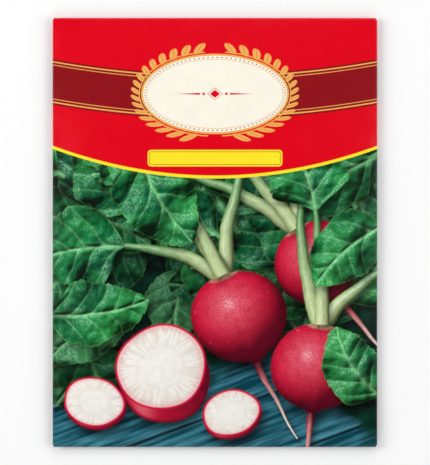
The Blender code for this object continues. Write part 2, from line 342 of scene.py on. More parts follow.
def paint_leaf(picture, leaf, tone=1.0, warmth=0.0, pale=0.0):
    """A leaf with a midrib, side veins, puffed panels between them and a lit, toothed margin."""
    middle = arc_middle(leaf.base, leaf.heading, leaf.bend, leaf.length)
    view = picture.window(middle, 0.62 * leaf.length + 0.6 * leaf.width + 4)
    if view is None:
        return
    x, y, seed = picture.x[view], picture.y[view], leaf.seed
    patch = mottling(x, y, seed)
    inside, s, t, half = leaf_outline(x, y, leaf)
    shadow = ramp(leaf_outline(x - LEAF_THROW[0], y + LEAF_THROW[1], leaf)[0], -2.6, 2.4)
    q, side = np.clip(s / leaf.length, 0, 1), np.sign(t)
    n = np.clip(t / np.maximum(half, 0.4), -1, 1)
    spacing = leaf.length / VEIN_PAIRS
    fan = (s - 0.95 * np.abs(t) ** 0.9 + 0.3 * spacing * side) / spacing + 0.22 * patch(0.10, 0)
    off_vein = (0.5 - np.abs(fan % 1 - 0.5)) * spacing * 0.7
    vein = bell(off_vein, 0.34) * ramp(half, 1.5, 5) * (1 - 0.55 * np.abs(n))
    rib = bell(t, 0.40 + 0.95 * (1 - q))
    net = 0.5 * bell(patch(0.42, 5), 0.07)
    # Its height: panels puffed up between veins, a sunk rib, a frilled margin, and slow and fine unevenness
    puff = np.sin(np.clip(off_vein / (0.35 * spacing), 0, 1) * np.pi / 2)
    frill = np.abs(n) ** 2.5 * np.sin(2 * np.pi * (s / (leaf.length * 0.36) + 0.3 * seed) + side)
    height = 0.72 * puff * (1 - 0.5 * np.abs(n)) * (1 - bell(t, 0.8)) - 0.20 * rib - 0.06 * net
    height = height - leaf.width * (0.16 * frill + 0.05 * n**2)
    height = height + 3.4 * patch(0.065, 9) + 0.8 * patch(0.19, 5)
    height = height + 0.30 * patch(0.42, 6) + 0.05 * patch(1.1, 12)
    light, gloss = relief_shine(0.62 * height, x, y)
    # Its colour: green in patches, paler on the veins, lit, with a broken gloss and a lit margin
    tint = 0.40 + 0.9 * patch(0.05, 2) + 0.35 * patch(0.3, 3)
    body = mix(DEEP_LEAF, LEAF, np.clip(tint, 0, 1))
    body = mix(body, FRESH_LEAF, np.clip(warmth + 0.5 * patch(0.06, 7), 0, 1))
    body = mix(body, VEIN, np.clip(pale + 0.50 * vein + 0.85 * rib + 0.10 * net, 0, 1))
    colour = body * (tone * (0.05 + 1.15 * ramp(light, 0.34, 1.0)))[..., None]
    speck = np.clip(0.55 + 0.9 * patch(1.6, 8), 0, 1.4)
    colour = colour + (tone * speck * 0.40 * gloss**42)[..., None] * LEAF_GLINT
    colour = colour + (tone * speck * 0.17 * gloss**9)[..., None] * LEAF_SHEEN
    colour = mix(colour, LEAF_MARGIN * tone, 0.40 * bell(inside - 0.25, 0.25) * light)
    picture.lay(view, inside, colour, shadow, THIN_SHADOW)


def rod_outline(x, y, rod):
    """(inside, along, across, half thickness, share of the length) of a tapering rod along an arc."""
    s, t = along_arc(x, y, rod.base, rod.heading, rod.bend, rod.length)
    q = np.clip(s / rod.length, 0, 1)
    half = rod.thick + (rod.thin - rod.thick) * q**rod.power
    half = half * (1 + 0.10 * noise(s * 0.3, 0 * s + rod.seed))
    t = t + 0.3 * rod.thick * noise(s * 0.08, 0 * s, rod.seed + 5)
    return np.minimum(half - np.abs(t), np.minimum(s, rod.length - s)), s, t, half, q


def paint_rod(picture, rod, foot, tip, gleam, rings=0.0):
    """A stalk or a thin root: round across, lightly ribbed along, changing colour from foot to tip."""
    middle = arc_middle(rod.base, rod.heading, rod.bend, rod.length)
    view = picture.window(middle, 0.6 * rod.length + rod.thick + 3)
    if view is None:
        return
    x, y, seed = picture.x[view], picture.y[view], rod.seed
    inside, s, t, half, q = rod_outline(x, y, rod)
    shadow = ramp(rod_outline(x - ROD_THROW[0], y + ROD_THROW[1], rod)[0], -2.0, 1.5)
    n = np.clip(t / np.maximum(half, 0.05), -0.999, 0.999)
    turn = np.radians(rod.heading) + np.radians(rod.bend) * q
    light, gloss = shine(-np.sin(turn) * n, np.cos(turn) * n, np.sqrt(1 - n**2))
    rib = 0.5 + 0.5 * np.cos(7 * n + 1.5 * noise(s * 0.08, 0 * s, seed))
    colour = mix(foot, tip, ramp(q + 0.12 * noise(s * 0.3, t, seed), 0.0, 1.0))
    band = bell(((s + 0.9 * noise(t, s * 0.2, seed)) / RING_SPACING) % 1 - 0.5, 0.10)
    band = band * (0.6 + noise(s * 0.4, t, seed + 2))
    shade = 1 + 0.16 * noise(s * 0.35, t * 1.6, seed) - 0.14 * rib * (half > 0.8) - rings * band
    colour = colour * (shade * (0.14 + 1.10 * light**1.1))[..., None]
    speck = np.clip(0.7 + 0.5 * noise(s * 0.5, t * 1.5, seed + 6), 0, 1.3)
    colour = mix(colour, STALK_SHEEN, np.clip(gleam * gloss**14 * speck, 0, 0.9))
    picture.lay(view, inside, colour, shadow, THIN_SHADOW)


def root_outline(x, y, root):
    """(share of the radius, along, across, dx, dy): nearly a circle, drawn out a little at the tail."""
    dx, dy = (x - root.centre[0]) / root.radius, (y - root.centre[1]) / root.radius
    turn = np.radians(root.crown)
    a = (dx * np.cos(turn) + dy * np.sin(turn)) / 0.95
    c = -dx * np.sin(turn) + dy * np.cos(turn)
    angle = np.arctan2(c, a)
    form = 1 + 0.015 * np.cos(2 * angle + root.seed) + 0.012 * np.cos(3 * angle + 2 * root.seed)
    form = form + 0.09 * bell(np.abs(angle) - np.pi, 0.15) - 0.03 * bell(angle, 0.25)
    return np.hypot(a, c) / form, a, c, dx, dy


def paint_root(picture, root):
    """A round root: shaded as a ball, with a stippled bloom, pale pores and a rough ring round its crown."""
    view = picture.window(root.centre, root.radius * 1.15 + 8)
    x, y = picture.x[view], picture.y[view]
    patch = mottling(x, y, root.seed)
    rho, a, c, dx, dy = root_outline(x, y, root)
    inside = (1 - rho) * root.radius
    thrown = root_outline(x - ROOT_THROW[0], y + ROOT_THROW[1], root)[0]
    shadow = ramp((1 - thrown) * root.radius, -4.5, 3.0)
    r = np.clip(rho, 0, 0.9995)
    flat = np.maximum(np.hypot(dx, dy), 1e-6)
    grain, fine = clouds(x * 0.35, y * 0.35, root.seed), patch(1.9, 4)
    light, gloss = shine(dx / flat * r + 0.02 * grain, dy / flat * r + 0.02 * fine, np.sqrt(1 - r**2))
    colour = mix(mix(SKIN_SHADE, SKIN_LOW, ramp(light, 0.05, 0.5)), SKIN, ramp(light, 0.35, 0.85))
    colour = colour * (1 + 0.10 * grain + 0.04 * fine)[..., None]
    stipple = np.clip(0.78 + 0.60 * fine + 0.30 * grain, 0, 1.35)
    bloom = np.clip((0.60 * gloss**6.5 + 0.30 * gloss**32) * stipple, 0, 0.92)
    colour = mix(colour, SKIN_BLOOM, bloom)
    colour = mix(colour, SKIN_SHEEN, np.clip(0.45 * gloss**220 * stipple, 0, 0.9))
    colour = colour * (1 - 0.40 * ramp(r, 0.80, 1.0) * (1.1 - light))[..., None]
    pores = ramp(patch(0.70, 11), 0.60, 0.70)
    colour = mix(colour, SKIN_BLOOM, 0.40 * pores * light)
    ring = ramp(np.hypot((a - 0.99) / 0.13, c / 0.33), 1.25, 0.75)
    colour = mix(colour, SCAR, ring * np.clip(0.75 + 0.8 * patch(0.9, 7), 0, 1))
    picture.lay(view, inside, colour, shadow, THICK_SHADOW)


def cut_outline(x, y, cut):
    """(share of the radius, angle, along, across) of a cut face seen at a slant."""
    turn = np.radians(cut.turn)
    dx, dy = (x - cut.centre[0]) / cut.radius, (y - cut.centre[1]) / cut.radius
    a = dx * np.cos(turn) + dy * np.sin(turn)
    c = (-dx * np.sin(turn) + dy * np.cos(turn)) / cut.squash
    angle = np.arctan2(c, a)
    form = 1 + 0.015 * np.cos(3 * angle + cut.seed) + 0.01 * np.cos(5 * angle)
    return np.hypot(a, c) / form, angle, a, c


def paint_cut(picture, cut):
    """A half or a slice, cut face up: white flesh with faint rays, a thin red skin, and its side below."""
    view = picture.window(cut.centre, cut.radius * 1.2 + cut.thickness + 8)
    x, y, seed = picture.x[view], picture.y[view], cut.seed
    rho, angle, a, c = cut_outline(x, y, cut)
    inside = (1 - rho) * cut.radius
    # The side is the face drawn again and again, a little lower each time
    lowered = [cut_outline(x - 0.3 * drop, y + drop, cut)[0] for drop in np.linspace(0, cut.thickness, 9)]
    side = np.max([(1 - share) * cut.radius for share in lowered], axis=0)
    cast = (1 - cut_outline(x - CUT_THROW[0], y + cut.thickness + CUT_THROW[1], cut)[0]) * cut.radius
    lean = (x - cut.centre[0]) / cut.radius
    lit = np.clip(0.62 - 0.55 * lean + 0.10 * clouds(x * 0.3, y * 0.3, seed), 0, 1) * ramp(side, -0.2, 1.6)
    skin = mix(mix(SKIN_SHADE, SKIN, lit), SKIN_BLOOM, 0.5 * bell(lean + 0.42, 0.22) * ramp(side, 0.4, 2.2))
    picture.lay(view, side, skin, ramp(cast, -3.5, 3.0), THICK_SHADOW)
    rays = bell(noise(angle * 9.0, rho * 1.4, seed), 0.16)
    flesh = mix(FLESH, FLESH_RAY, 0.75 * ramp(rho, 0.25, 0.85) * rays)
    core = bell(rho - 0.50 - 0.04 * noise(angle * 2, 0 * angle, seed), 0.035)
    flesh = flesh * (1 - 0.05 * core - 0.05 * clouds(x * 0.5, y * 0.5, seed))[..., None]
    flesh = mix(flesh, FLESH_BLUSH, 0.6 * ramp(rho, 0.80, 0.93))
    flesh = flesh * (0.93 + 0.05 * (a * SUN[0] + c * SUN[1]))[..., None]
    flesh = mix(flesh, SKIN, ramp(inside, 1.0, 0.55))
    picture.lay(view, inside, flesh, 0 * rho, 0)


def paint_board(picture, slope=0.36, plank=23.0):
    """Painted planks at a slant: long grain, fine fibres, and a dark gap with one lit edge at each plank."""
    x, y = picture.x, picture.y
    along, across = x * np.cos(slope) + y * np.sin(slope), -x * np.sin(slope) + y * np.cos(slope)
    grain = np.clip(0.40 + 0.85 * clouds(along * 0.035, across * 0.55, 3, 4), 0, 1)
    gap = (((across + 6) / plank) % 1 - 0.5) * plank
    shade = (1 + 0.25 * noise(along * 0.22, across * 2.1, 8)) * (1 - 0.9 * bell(gap, 0.55))
    picture.ink = 0.85 * (mix(BOARD_LOW, BOARD_HIGH, grain) * shade[..., None])
    picture.ink = picture.ink + (0.13 * bell(gap - 1.1, 0.4))[..., None] * BOARD_EDGE


def paint_gloom(picture):
    """The deep shade under the foliage. It ends in a ragged line that leaves the boards bare below."""
    x, y = picture.x, picture.y
    edge = -50 - 0.35 * x + 9 * np.sin(x * 0.07)
    shade = ramp(y - edge + 6 * clouds(x * 0.07, y * 0.07, 21), -7, 5)
    tint = np.clip(0.25 + 0.8 * clouds(x * 0.11, y * 0.11, 31), 0, 1)
    picture.ink = mix(picture.ink, mix(GLOOM_LOW, GLOOM_HIGH, tint), shade)


def paint_foliage(picture, rng, row):
    """Leaves spread evenly by the golden ratio across and by their number up, each one a little different."""
    for k in range(row.count):
        x = FOLIAGE_LEFT + (row.right - FOLIAGE_LEFT) * ((k * GOLDEN_SHARE) % 1) + rng.uniform(-5, 5)
        rise = (FOLIAGE_TOP - row.floor) * ((k + 0.5) / row.count) ** 0.9
        y = row.floor + rise + rng.uniform(-5, 5) - 0.14 * (x + 20)
        size = rng.uniform(0.85, 1.15)
        heading, bend = rng.uniform(*row.headings), rng.uniform(-70, 70)
        leaf = Leaf((x, y), heading, row.length * size, row.width * size, bend, row.seed + k)
        tone, warmth, pale = rng.uniform(*row.tones), rng.uniform(-0.2, 0.35), rng.choice([0, 0, 0, 0.3])
        paint_leaf(picture, leaf, tone, warmth, pale)


def paint_top(picture, base, root, top, thick, seed):
    """A stalk with its leaf, which starts where the stalk ends. The stalk runs on a little as its rib."""
    heading = root.crown + top.heading
    end = arc_end(base, heading, top.bend, top.length)
    leaf = Leaf(end, heading + top.bend, top.leaf_length, top.leaf_width, top.leaf_bend, seed)
    paint_leaf(picture, leaf, warmth=0.1 + 0.1 * (seed % 3))
    overrun = 1.0 + 3.0 / top.length
    rod = Rod(base, heading, top.length * overrun, top.bend * overrun, thick, STALK_TAPER * thick, 1.3, seed)
    paint_rod(picture, rod, STALK_FOOT, STALK_TOP, 0.75)


def paint_plant(picture, root, tops, tail_bend):
    """A root with its tail, some stalks behind its crown and one in front."""
    turn = np.radians(root.crown)
    outward = np.array([np.cos(turn), np.sin(turn)])
    behind, before = (tuple(root.centre + share * root.radius * outward) for share in (0.86, 0.92))
    for k, top in enumerate(tops):
        paint_top(picture, behind, root, top, BACK_STALK, 7 * root.seed + k)
    foot = tuple(root.centre - 0.94 * root.radius * outward)
    tail = Rod(foot, root.crown + 180, TAIL_LENGTH, tail_bend, TAIL_THICK, TAIL_THIN, 0.30, root.seed)
    paint_rod(picture, tail, TAIL_FOOT, TAIL_TIP, 0.4, rings=0.2)
    paint_root(picture, root)
    paint_top(picture, before, root, FRONT_TOP, FRONT_STALK, 5 * root.seed + 40)


def paint_picture(across, up):
    """The whole picture, from the boards at the back to the leaves in front."""
    picture = Painting(across, up)
    paint_board(picture)
    paint_gloom(picture)
    rng = np.random.default_rng(8)
    for row in FOLIAGE:
        paint_foliage(picture, rng, row)
    for plant in PLANTS:
        paint_plant(picture, *plant)
    for cut in CUTS:
        paint_cut(picture, cut)
    for leaf in FRONT_LEAVES:
        paint_leaf(picture, leaf, warmth=0.25)
    return picture.ink


# The folded sheet

Stations = namedtuple("Stations", "zone value flat coarse")


def stations(runs, main):
    """Joins runs of (zone, first value, last value, flat start, flat end, steps, every) into one line.

    Value is where a station is in its zone, flat is where it is on the unfolded sheet, and coarse marks the
    stations that the inner face uses too: each run's ends and every so many steps between. Where two runs
    meet, the main zone keeps the station, and so does the run nearer to it.
    """
    zones, values, flats, coarse, before = [], [], [], [], None
    for zone, first, last, flat_start, flat_end, steps, every in runs:
        share = np.linspace(0, 1, steps + 1)
        if zone < main:
            share = share[:-1]
        elif zone > main or before == main:
            share = share[1:]
        zones.append(np.full(len(share), zone))
        values.append(first + (last - first) * share)
        flats.append(flat_start + (flat_end - flat_start) * share)
        coarse.append(np.round(share * steps).astype(int) % every == 0)
        before = zone
    return Stations(*(np.concatenate(part) for part in (zones, values, flats, coarse)))


BACK, LEFT_FOLD, FRONT, RIGHT_FOLD, SIDE_FLAP = range(5)
BOTTOM_FLAP, BOTTOM_FOLD, PANEL, TOP_FOLD, TOP_FLAP = range(5)


# Steps in each run of stations, and every how many of them the inner face has one
BACK_STEPS, FOLD_STEPS, FRONT_STEPS, FLAP_STEPS = 28, 6, 252, 8
PICTURE_STEPS, HEAD_STEPS = 236, 36
PRINT_EVERY, PLAIN_EVERY = 4, 2


def sheet_columns():
    """Across the unfolded sheet, from the back panel's free edge to the side flap's."""
    return stations((
        (BACK, RIGHT, LEFT, FLAT_BACK_EDGE, LEFT - LEFT_TURN, BACK_STEPS, PLAIN_EVERY),
        (LEFT_FOLD, 1, 0, LEFT - LEFT_TURN, LEFT, FOLD_STEPS, 1),
        (FRONT, LEFT, RIGHT, LEFT, RIGHT, FRONT_STEPS, PRINT_EVERY),
        (RIGHT_FOLD, 0, 1, RIGHT, RIGHT + RIGHT_TURN, FOLD_STEPS, 1),
        (SIDE_FLAP, RIGHT, SEAM_EDGE, RIGHT + RIGHT_TURN, FLAT_FLAP_EDGE, FLAP_STEPS, PLAIN_EVERY),
    ), FRONT)


def sheet_rows():
    """Up the unfolded sheet, from the bottom flap's free edge to the top flap's, finer at the picture."""
    return stations((
        (BOTTOM_FLAP, 1, 0, FLAT_BOTTOM, -TOP - END_TURN, FLAP_STEPS, PLAIN_EVERY),
        (BOTTOM_FOLD, 1, 0, -TOP - END_TURN, -TOP, FOLD_STEPS, 1),
        (PANEL, -TOP, PICTURE_TOP, -TOP, PICTURE_TOP, PICTURE_STEPS, PRINT_EVERY),
        (PANEL, PICTURE_TOP, TOP, PICTURE_TOP, TOP, HEAD_STEPS, PLAIN_EVERY),
        (TOP_FOLD, 0, 1, TOP, TOP + END_TURN, FOLD_STEPS, 1),
        (TOP_FLAP, 0, 1, TOP + END_TURN, FLAT_TOP, FLAP_STEPS, PLAIN_EVERY),
    ), PANEL)


def settled(x, y):
    """1 where the packet's belly lies flat on the surface, and 0 where its rim has risen."""
    return ramp(np.abs(x), RISEN_X, BELLY_X) * ramp(np.abs(y), RISEN_Y, BELLY_Y)


def swell(x, y):
    """How full the packet is: 1 in the middle, falling as a power of the distance to 0 at the folds."""
    across = np.clip(np.abs((2 * x - LEFT - RIGHT) / (RIGHT - LEFT)), 0, 1)
    along = np.clip(np.abs(y) / TOP, 0, 1)
    return (1 - across**3.0) * (1 - along**2.5)


def rim_wave(x, y):
    """A slow waviness that all the layers of the rim share."""
    return 0.34 * noise(x / 46, y / 46, 2) * (1 - settled(x, y))


def back_height(x, y, paper):
    """Middle surface of the back panel: down on the floor under the belly, a little bumped by the seed."""
    belly = settled(x, y)
    bumps = 0.05 * (0.95 + noise(x / 2.7, y / 2.7, 6)) * belly
    return BACK_RIM_Z + (paper / 2 - BACK_RIM_Z) * belly + bumps + rim_wave(x, y)


def puckers(from_edge, along, seed):
    """Short soft folds that run in from a folded edge: uneven waves along it, gone a centimetre or two in."""
    reach = ramp(from_edge, 0.0, 2.6) * bell(from_edge, 11 + 3 * noise(along / 19, 0 * along, seed + 1))
    return reach * noise(along / 6.5 + 0.02 * from_edge, from_edge / 34, seed)


def front_height(x, y, shape):
    """Middle surface of the front: a low pillow with slow lumps, the seed's bumps and puckered edges."""
    full = swell(x, y)
    height = FRONT_RIM_Z + (CROWN_Z - FRONT_RIM_Z) * full
    height = height + shape.lumps * noise(x / 17, y / 17, 4) * full
    height = height + shape.seed_bumps * noise(x / 2.6, y / 2.6, 5) * full**2
    sides = puckers(x - LEFT, y, 12) + puckers(RIGHT - x, y, 14)
    ends = puckers(y + TOP, x, 16) + puckers(TOP - y, x, 18)
    pull = sides * ramp(TOP - np.abs(y), 0, 9) + ends * ramp(np.minimum(x - LEFT, RIGHT - x), 0, 9)
    return height + shape.puckers * pull + rim_wave(x, y)


def side_flap_height(x, y):
    """Middle surface of the side flap."""
    return SIDE_FLAP_Z + rim_wave(x, y)


def end_flap_height(x, y):
    """Middle surface of the end flaps: one layer lower where the side flap lies under them."""
    return END_FLAP_Z + (SEAM_COVER_Z - END_FLAP_Z) * ramp(x, STEP_START, STEP_END) + rim_wave(x, y)


def rolled(start, reach, upper, lower, share):
    """A half turn from an upper to a lower layer: out by the sine of the turn, down by its cosine."""
    turn = np.pi * share
    return start + reach * np.sin(turn), (upper + lower) / 2 + (upper - lower) / 2 * np.cos(turn)


def folded(columns, rows, shape):
    """(points, used): each station's place once folded, and which stations the cross-shaped sheet has."""
    across, up = np.meshgrid(columns.value, rows.value)
    col, row = np.meshgrid(columns.zone, rows.zone)
    end = row != PANEL
    side = np.where(row > PANEL, 1.0, -1.0)
    x = np.select([col == LEFT_FOLD, col == RIGHT_FOLD], [LEFT + 0 * across, RIGHT + 0 * across], across)
    y = np.where(end, side * TOP, up)
    front = front_height(x, y, shape)
    back, flap = back_height(x, y, shape.paper), side_flap_height(x, y)
    left_x, left_z = rolled(LEFT, -LEFT_REACH, front, back, across)
    right_x, right_z = rolled(RIGHT, RIGHT_REACH, front, flap, across)
    z = np.select(
        [col == BACK, col == LEFT_FOLD, col == RIGHT_FOLD, col == SIDE_FLAP],
        [back, left_z, right_z, flap],
        front,
    )
    x = np.select([col == LEFT_FOLD, col == RIGHT_FOLD], [left_x, right_x], x)
    # The folded ends, which only the front's columns have
    fold = (row == BOTTOM_FOLD) | (row == TOP_FOLD)
    tuck = (row == BOTTOM_FLAP) | (row == TOP_FLAP)
    depth = np.where(row == TOP_FLAP, TOP_FLAP_DEPTH, BOTTOM_FLAP_DEPTH)
    tuck_x = x * (1 - FLAP_TAPER * up)
    tuck_y = side * (TOP - depth * up)
    fold_y, fold_z = rolled(side * TOP, side * END_REACH, front, end_flap_height(x, side * TOP), up)
    z = np.select([fold, tuck], [fold_z, end_flap_height(tuck_x, tuck_y)], z)
    y = np.select([fold, tuck], [fold_y, tuck_y], y)
    x = np.where(tuck, tuck_x, x)
    return np.stack((x, y, z), axis=-1), ~end | (col == FRONT)


def grid_faces(index):
    """Quads between neighbouring grid points, along a row and then up. Points marked -1 are left out."""
    corners = (index[:-1, :-1], index[:-1, 1:], index[1:, 1:], index[1:, :-1])
    quads = np.stack(corners, axis=-1).reshape(-1, 4)
    return quads[(quads >= 0).all(axis=1)]


def grid_normals(points, index):
    """Each used point's normal: the sum of the cross products of its faces' diagonals, made one long."""
    flat = points[index >= 0]
    quads = grid_faces(index)
    corners = flat[quads]
    face_normal = np.cross(corners[:, 2] - corners[:, 0], corners[:, 3] - corners[:, 1])
    normals = np.zeros_like(flat)
    for corner in range(4):
        np.add.at(normals, quads[:, corner], face_normal)
    return normals / np.linalg.norm(normals, axis=1, keepdims=True)


def numbered(used, first=0):
    """The grid with each used point's number, counted from first, and -1 elsewhere."""
    index = np.full(used.shape, -1)
    index[used] = np.arange(first, first + used.sum())
    return index


def outline(columns, rows):
    """The cross's edge as (rows, columns) of stations, once round, anticlockwise as the print is seen."""
    last_row, last_col = len(rows.zone) - 1, len(columns.zone) - 1
    low, high = np.flatnonzero(rows.zone == PANEL)[[0, -1]]
    left, right = np.flatnonzero(columns.zone == FRONT)[[0, -1]]
    corners = (
        (0, left), (0, right), (low, right), (low, last_col), (high, last_col), (high, right),
        (last_row, right), (last_row, left), (high, left), (high, 0), (low, 0), (low, left), (0, left),
    )
    path_rows, path_cols = [], []
    for (row, col), (next_row, next_col) in zip(corners, corners[1:]):
        steps = abs(next_row - row) + abs(next_col - col)
        path_rows.append(np.linspace(row, next_row, steps + 1).round().astype(int)[:-1])
        path_cols.append(np.linspace(col, next_col, steps + 1).round().astype(int)[:-1])
    return np.concatenate(path_rows), np.concatenate(path_cols)


def rim_faces(outer, inner):
    """(faces, stops): the cut edge, as one face from each coarse station to the next, round a closed loop.

    Outer and inner hold the loop's vertex numbers, and inner is -1 between coarse stations.
    """
    stops = np.append(np.flatnonzero(inner >= 0), len(inner))
    outer, inner = np.append(outer, outer[0]), np.append(inner, inner[0])
    return [[inner[a], inner[b], *outer[a:b + 1][::-1]] for a, b in zip(stops, stops[1:])], stops


def sheet_shell(points, used, columns, rows, thickness):
    """A closed sheet: its outer face on every station, its inner face on the coarse ones, and the cut edge.

    Returns (vertices, faces, outer face count, inner face count, the cut edge's stops, coarse stations).
    The vertices are the used stations' outer ones, then the coarse stations' inner ones.
    """
    outer_index = numbered(used)
    flat = points[used]
    normals = grid_normals(points, outer_index)
    coarse = used & rows.coarse[:, None] & columns.coarse
    inner_index = numbered(coarse, len(flat))
    inner = (flat - normals * thickness / 2)[outer_index[coarse]]
    outer_faces = grid_faces(outer_index)
    inner_faces = grid_faces(inner_index[rows.coarse][:, columns.coarse])[:, ::-1]
    loop = outline(columns, rows)
    rim, stops = rim_faces(outer_index[loop], inner_index[loop])
    vertices = np.concatenate((flat + normals * thickness / 2, inner))
    faces = outer_faces.tolist() + inner_faces.tolist() + rim
    return vertices, faces, len(outer_faces), len(inner_faces), stops, coarse


def edge_distance(u, v):
    """(distance, corner): to the nearest fold or free edge of the flat sheet, and 1 at the corners."""
    to_side = np.minimum(np.abs(u - LEFT + LEFT_TURN / 2), np.abs(u - RIGHT - RIGHT_TURN / 2))
    to_end = np.abs(np.abs(v) - TOP - END_TURN / 2)
    free = np.min([u - FLAT_BACK_EDGE, FLAT_FLAP_EDGE - u, v - FLAT_BOTTOM, FLAT_TOP - v], axis=0)
    return np.minimum(np.minimum(to_side, to_end), free), bell(np.hypot(to_side, to_end), CORNER_SPREAD)


def put_in_mesh(name, vertices, faces, materials):
    """A mesh object of points in millimetres, at the origin, smooth."""
    mesh = bpy.data.meshes.new(name)
    mesh.from_pydata(np.asarray(vertices) * METRES, [], faces)
    for material in materials:
        mesh.materials.append(material)
    mesh.shade_smooth()
    thing = bpy.data.objects.new(name, mesh)
    bpy.context.scene.collection.objects.link(thing)
    return thing


def add_values(mesh, name, kind, values, domain="POINT"):
    """A value or a colour for each vertex, or for each face."""
    attribute = mesh.attributes.new(name, kind, domain)
    field = "color" if kind == "FLOAT_COLOR" else "value"
    attribute.data.foreach_set(field, np.asarray(values, np.float32).ravel())


def add_map(mesh, name, corners):
    """A UV map from one pair for each corner of each face."""
    layer = mesh.uv_layers.new(name=name, do_init=False)
    layer.uv.foreach_set("vector", np.asarray(corners, np.float32).ravel())


CORNER_SPREAD = 3.2
BAKE_MARGIN = 0.008
BAKE_INSIDE_FLOOR, BAKE_INSIDE_TALL = 0.80, 0.16
BAKE_RIM_FLOOR, BAKE_RIM_TALL = 0.980, 0.008


def bake_map(flat, first_inner, corner_vertex, panel_corners, stops):
    """The export's map: the printed face to scale, the plain inside squashed above it, then the cut edge."""
    low = np.array([FLAT_BACK_EDGE, FLAT_BOTTOM])
    span = np.array([FLAT_FLAP_EDGE, FLAT_TOP]) - low
    share = (flat - low) / span[0] * (1 - 2 * BAKE_MARGIN) + BAKE_MARGIN
    inside = share[first_inner:]
    inside[:, 1] = BAKE_INSIDE_FLOOR + BAKE_INSIDE_TALL * (flat[first_inner:, 1] - low[1]) / span[1]
    corners = share[corner_vertex]
    rim = []
    for a, b in zip(stops, stops[1:]):
        rim += [(a, 1), (b, 1)] + [(k, 0) for k in range(b, a - 1, -1)]
    rim = np.array(rim, float)
    rim[:, 0] = BAKE_MARGIN + rim[:, 0] / stops[-1] * (1 - 2 * BAKE_MARGIN)
    rim[:, 1] = BAKE_RIM_FLOOR + BAKE_RIM_TALL * rim[:, 1]
    corners[panel_corners:] = rim
    return corners


CELL_CORNERS = ((0, 0), (1, 0), (1, 1), (0, 1))
SAMPLES = tuple((row, column) for row in range(3) for column in range(3))


def with_middles(places):
    """The same places with the middle of each step between them."""
    fine = np.repeat(places, 2)[:-1]
    fine[1::2] = (places[:-1] + places[1:]) / 2
    return fine


def add_ink(mesh, columns, rows, used):
    """The picture as nine colours of each printed face: at its corners, its sides' middles and its centre.

    A cell of the grid is a face where all four of its stations are used, and faces are in the cells' order.
    The map in_cell says where in its cell a place is.
    """
    across, up = with_middles(columns.flat), with_middles(rows.flat)
    pictured = up <= PICTURE_TOP
    fine = np.zeros((len(up), len(across), 4))
    fine[..., 3] = 1
    fine[pictured, :, :3] = paint_picture(across, up[pictured]).clip(0, 1)
    cells = used[:-1, :-1] & used[:-1, 1:] & used[1:, 1:] & used[1:, :-1]
    tall, wide = 2 * np.array(cells.shape) - 1
    for row, column in SAMPLES:
        colours = np.zeros((len(mesh.polygons), 4))
        colours[:cells.sum()] = fine[row:row + tall:2, column:column + wide:2][cells]
        add_values(mesh, f"ink_{row}{column}", "FLOAT_COLOR", colours, "FACE")
    corners = np.zeros((len(mesh.loops), 2))
    corners[:4 * cells.sum()] = np.tile(CELL_CORNERS, (cells.sum(), 1))
    add_map(mesh, "in_cell", corners)


def fold_sheet(shape, materials):
    """The packet's one sheet of paper, with its print as attributes and its maps."""
    columns, rows = sheet_columns(), sheet_rows()
    points, used = folded(columns, rows, shape)
    vertices, faces, outer_count, inner_count, stops, coarse = sheet_shell(
        points, used, columns, rows, shape.paper
    )
    sheet = put_in_mesh("packet_sheet_print", vertices, faces, materials)
    mesh = sheet.data
    flat = np.stack(np.meshgrid(columns.flat, rows.flat), axis=-1)
    flat = np.concatenate((flat[used], flat[coarse]))
    corner_vertex = np.empty(len(mesh.loops), np.int32)
    mesh.loops.foreach_get("vertex_index", corner_vertex)
    add_map(mesh, "flat_sheet", flat[corner_vertex])
    bake_corners = bake_map(flat, used.sum(), corner_vertex, 4 * (outer_count + inner_count), stops)
    add_map(mesh, "OFBake", bake_corners)
    add_ink(mesh, columns, rows, used)
    distance, corner = edge_distance(flat[:, 0], flat[:, 1])
    add_values(mesh, "edge_distance", "FLOAT", distance)
    add_values(mesh, "corner_wear", "FLOAT", corner)
    printed = np.arange(len(faces)) < outer_count
    mesh.polygons.foreach_set("material_index", np.where(printed, 0, 1).astype(np.int32))
    smooth = np.arange(len(faces)) < outer_count + inner_count
    mesh.polygons.foreach_set("use_smooth", smooth)
    return sheet


# The gum strips, the points along each side of their grids, and the length of their margins' waves

GUM_POINTS, GUM_WAVE = 41, 6


def gum_strip(name, low, high, height_at, film, wander, seed, material):
    """A film of dried gum: a grid between two corners whose margins wander, laid along a height."""
    across, up = np.meshgrid(np.linspace(0, 1, GUM_POINTS), np.linspace(0, 1, GUM_POINTS))
    edge_x = wander * noise(up * (high[1] - low[1]) / GUM_WAVE, 0 * up, seed) * (2 * across - 1)
    edge_y = wander * noise(across * (high[0] - low[0]) / GUM_WAVE, 0 * up, seed + 3) * (2 * up - 1)
    x = low[0] + wander + (high[0] - low[0] - 2 * wander) * across + edge_x
    y = low[1] + wander + (high[1] - low[1] - 2 * wander) * up + edge_y
    middle = height_at(x, y)
    thick = film * (0.85 + 0.3 * noise(x / 3, y / 3, seed + 5))
    top = np.stack((x, y, middle + thick / 2), axis=-1)
    bottom = np.stack((x, y, middle - thick / 2), axis=-1)
    index = np.arange(top[..., 0].size).reshape(across.shape)
    below = index + index.size
    border = np.concatenate((index[0, :-1], index[:-1, -1], index[-1, :0:-1], index[:0:-1, 0]))
    following = np.roll(border, -1)
    rim = np.stack((border + index.size, following + index.size, following, border), axis=-1)
    faces = np.concatenate((grid_faces(index), grid_faces(below)[:, ::-1], rim))
    vertices = np.concatenate((top.reshape(-1, 3), bottom.reshape(-1, 3)))
    return put_in_mesh(name, vertices, faces.tolist(), [material])


# The seed: each one's room in its layer and over the paper as shares of its size, how far it is shaken, how
# far out the seed lies, and how small and how flat a seed may be

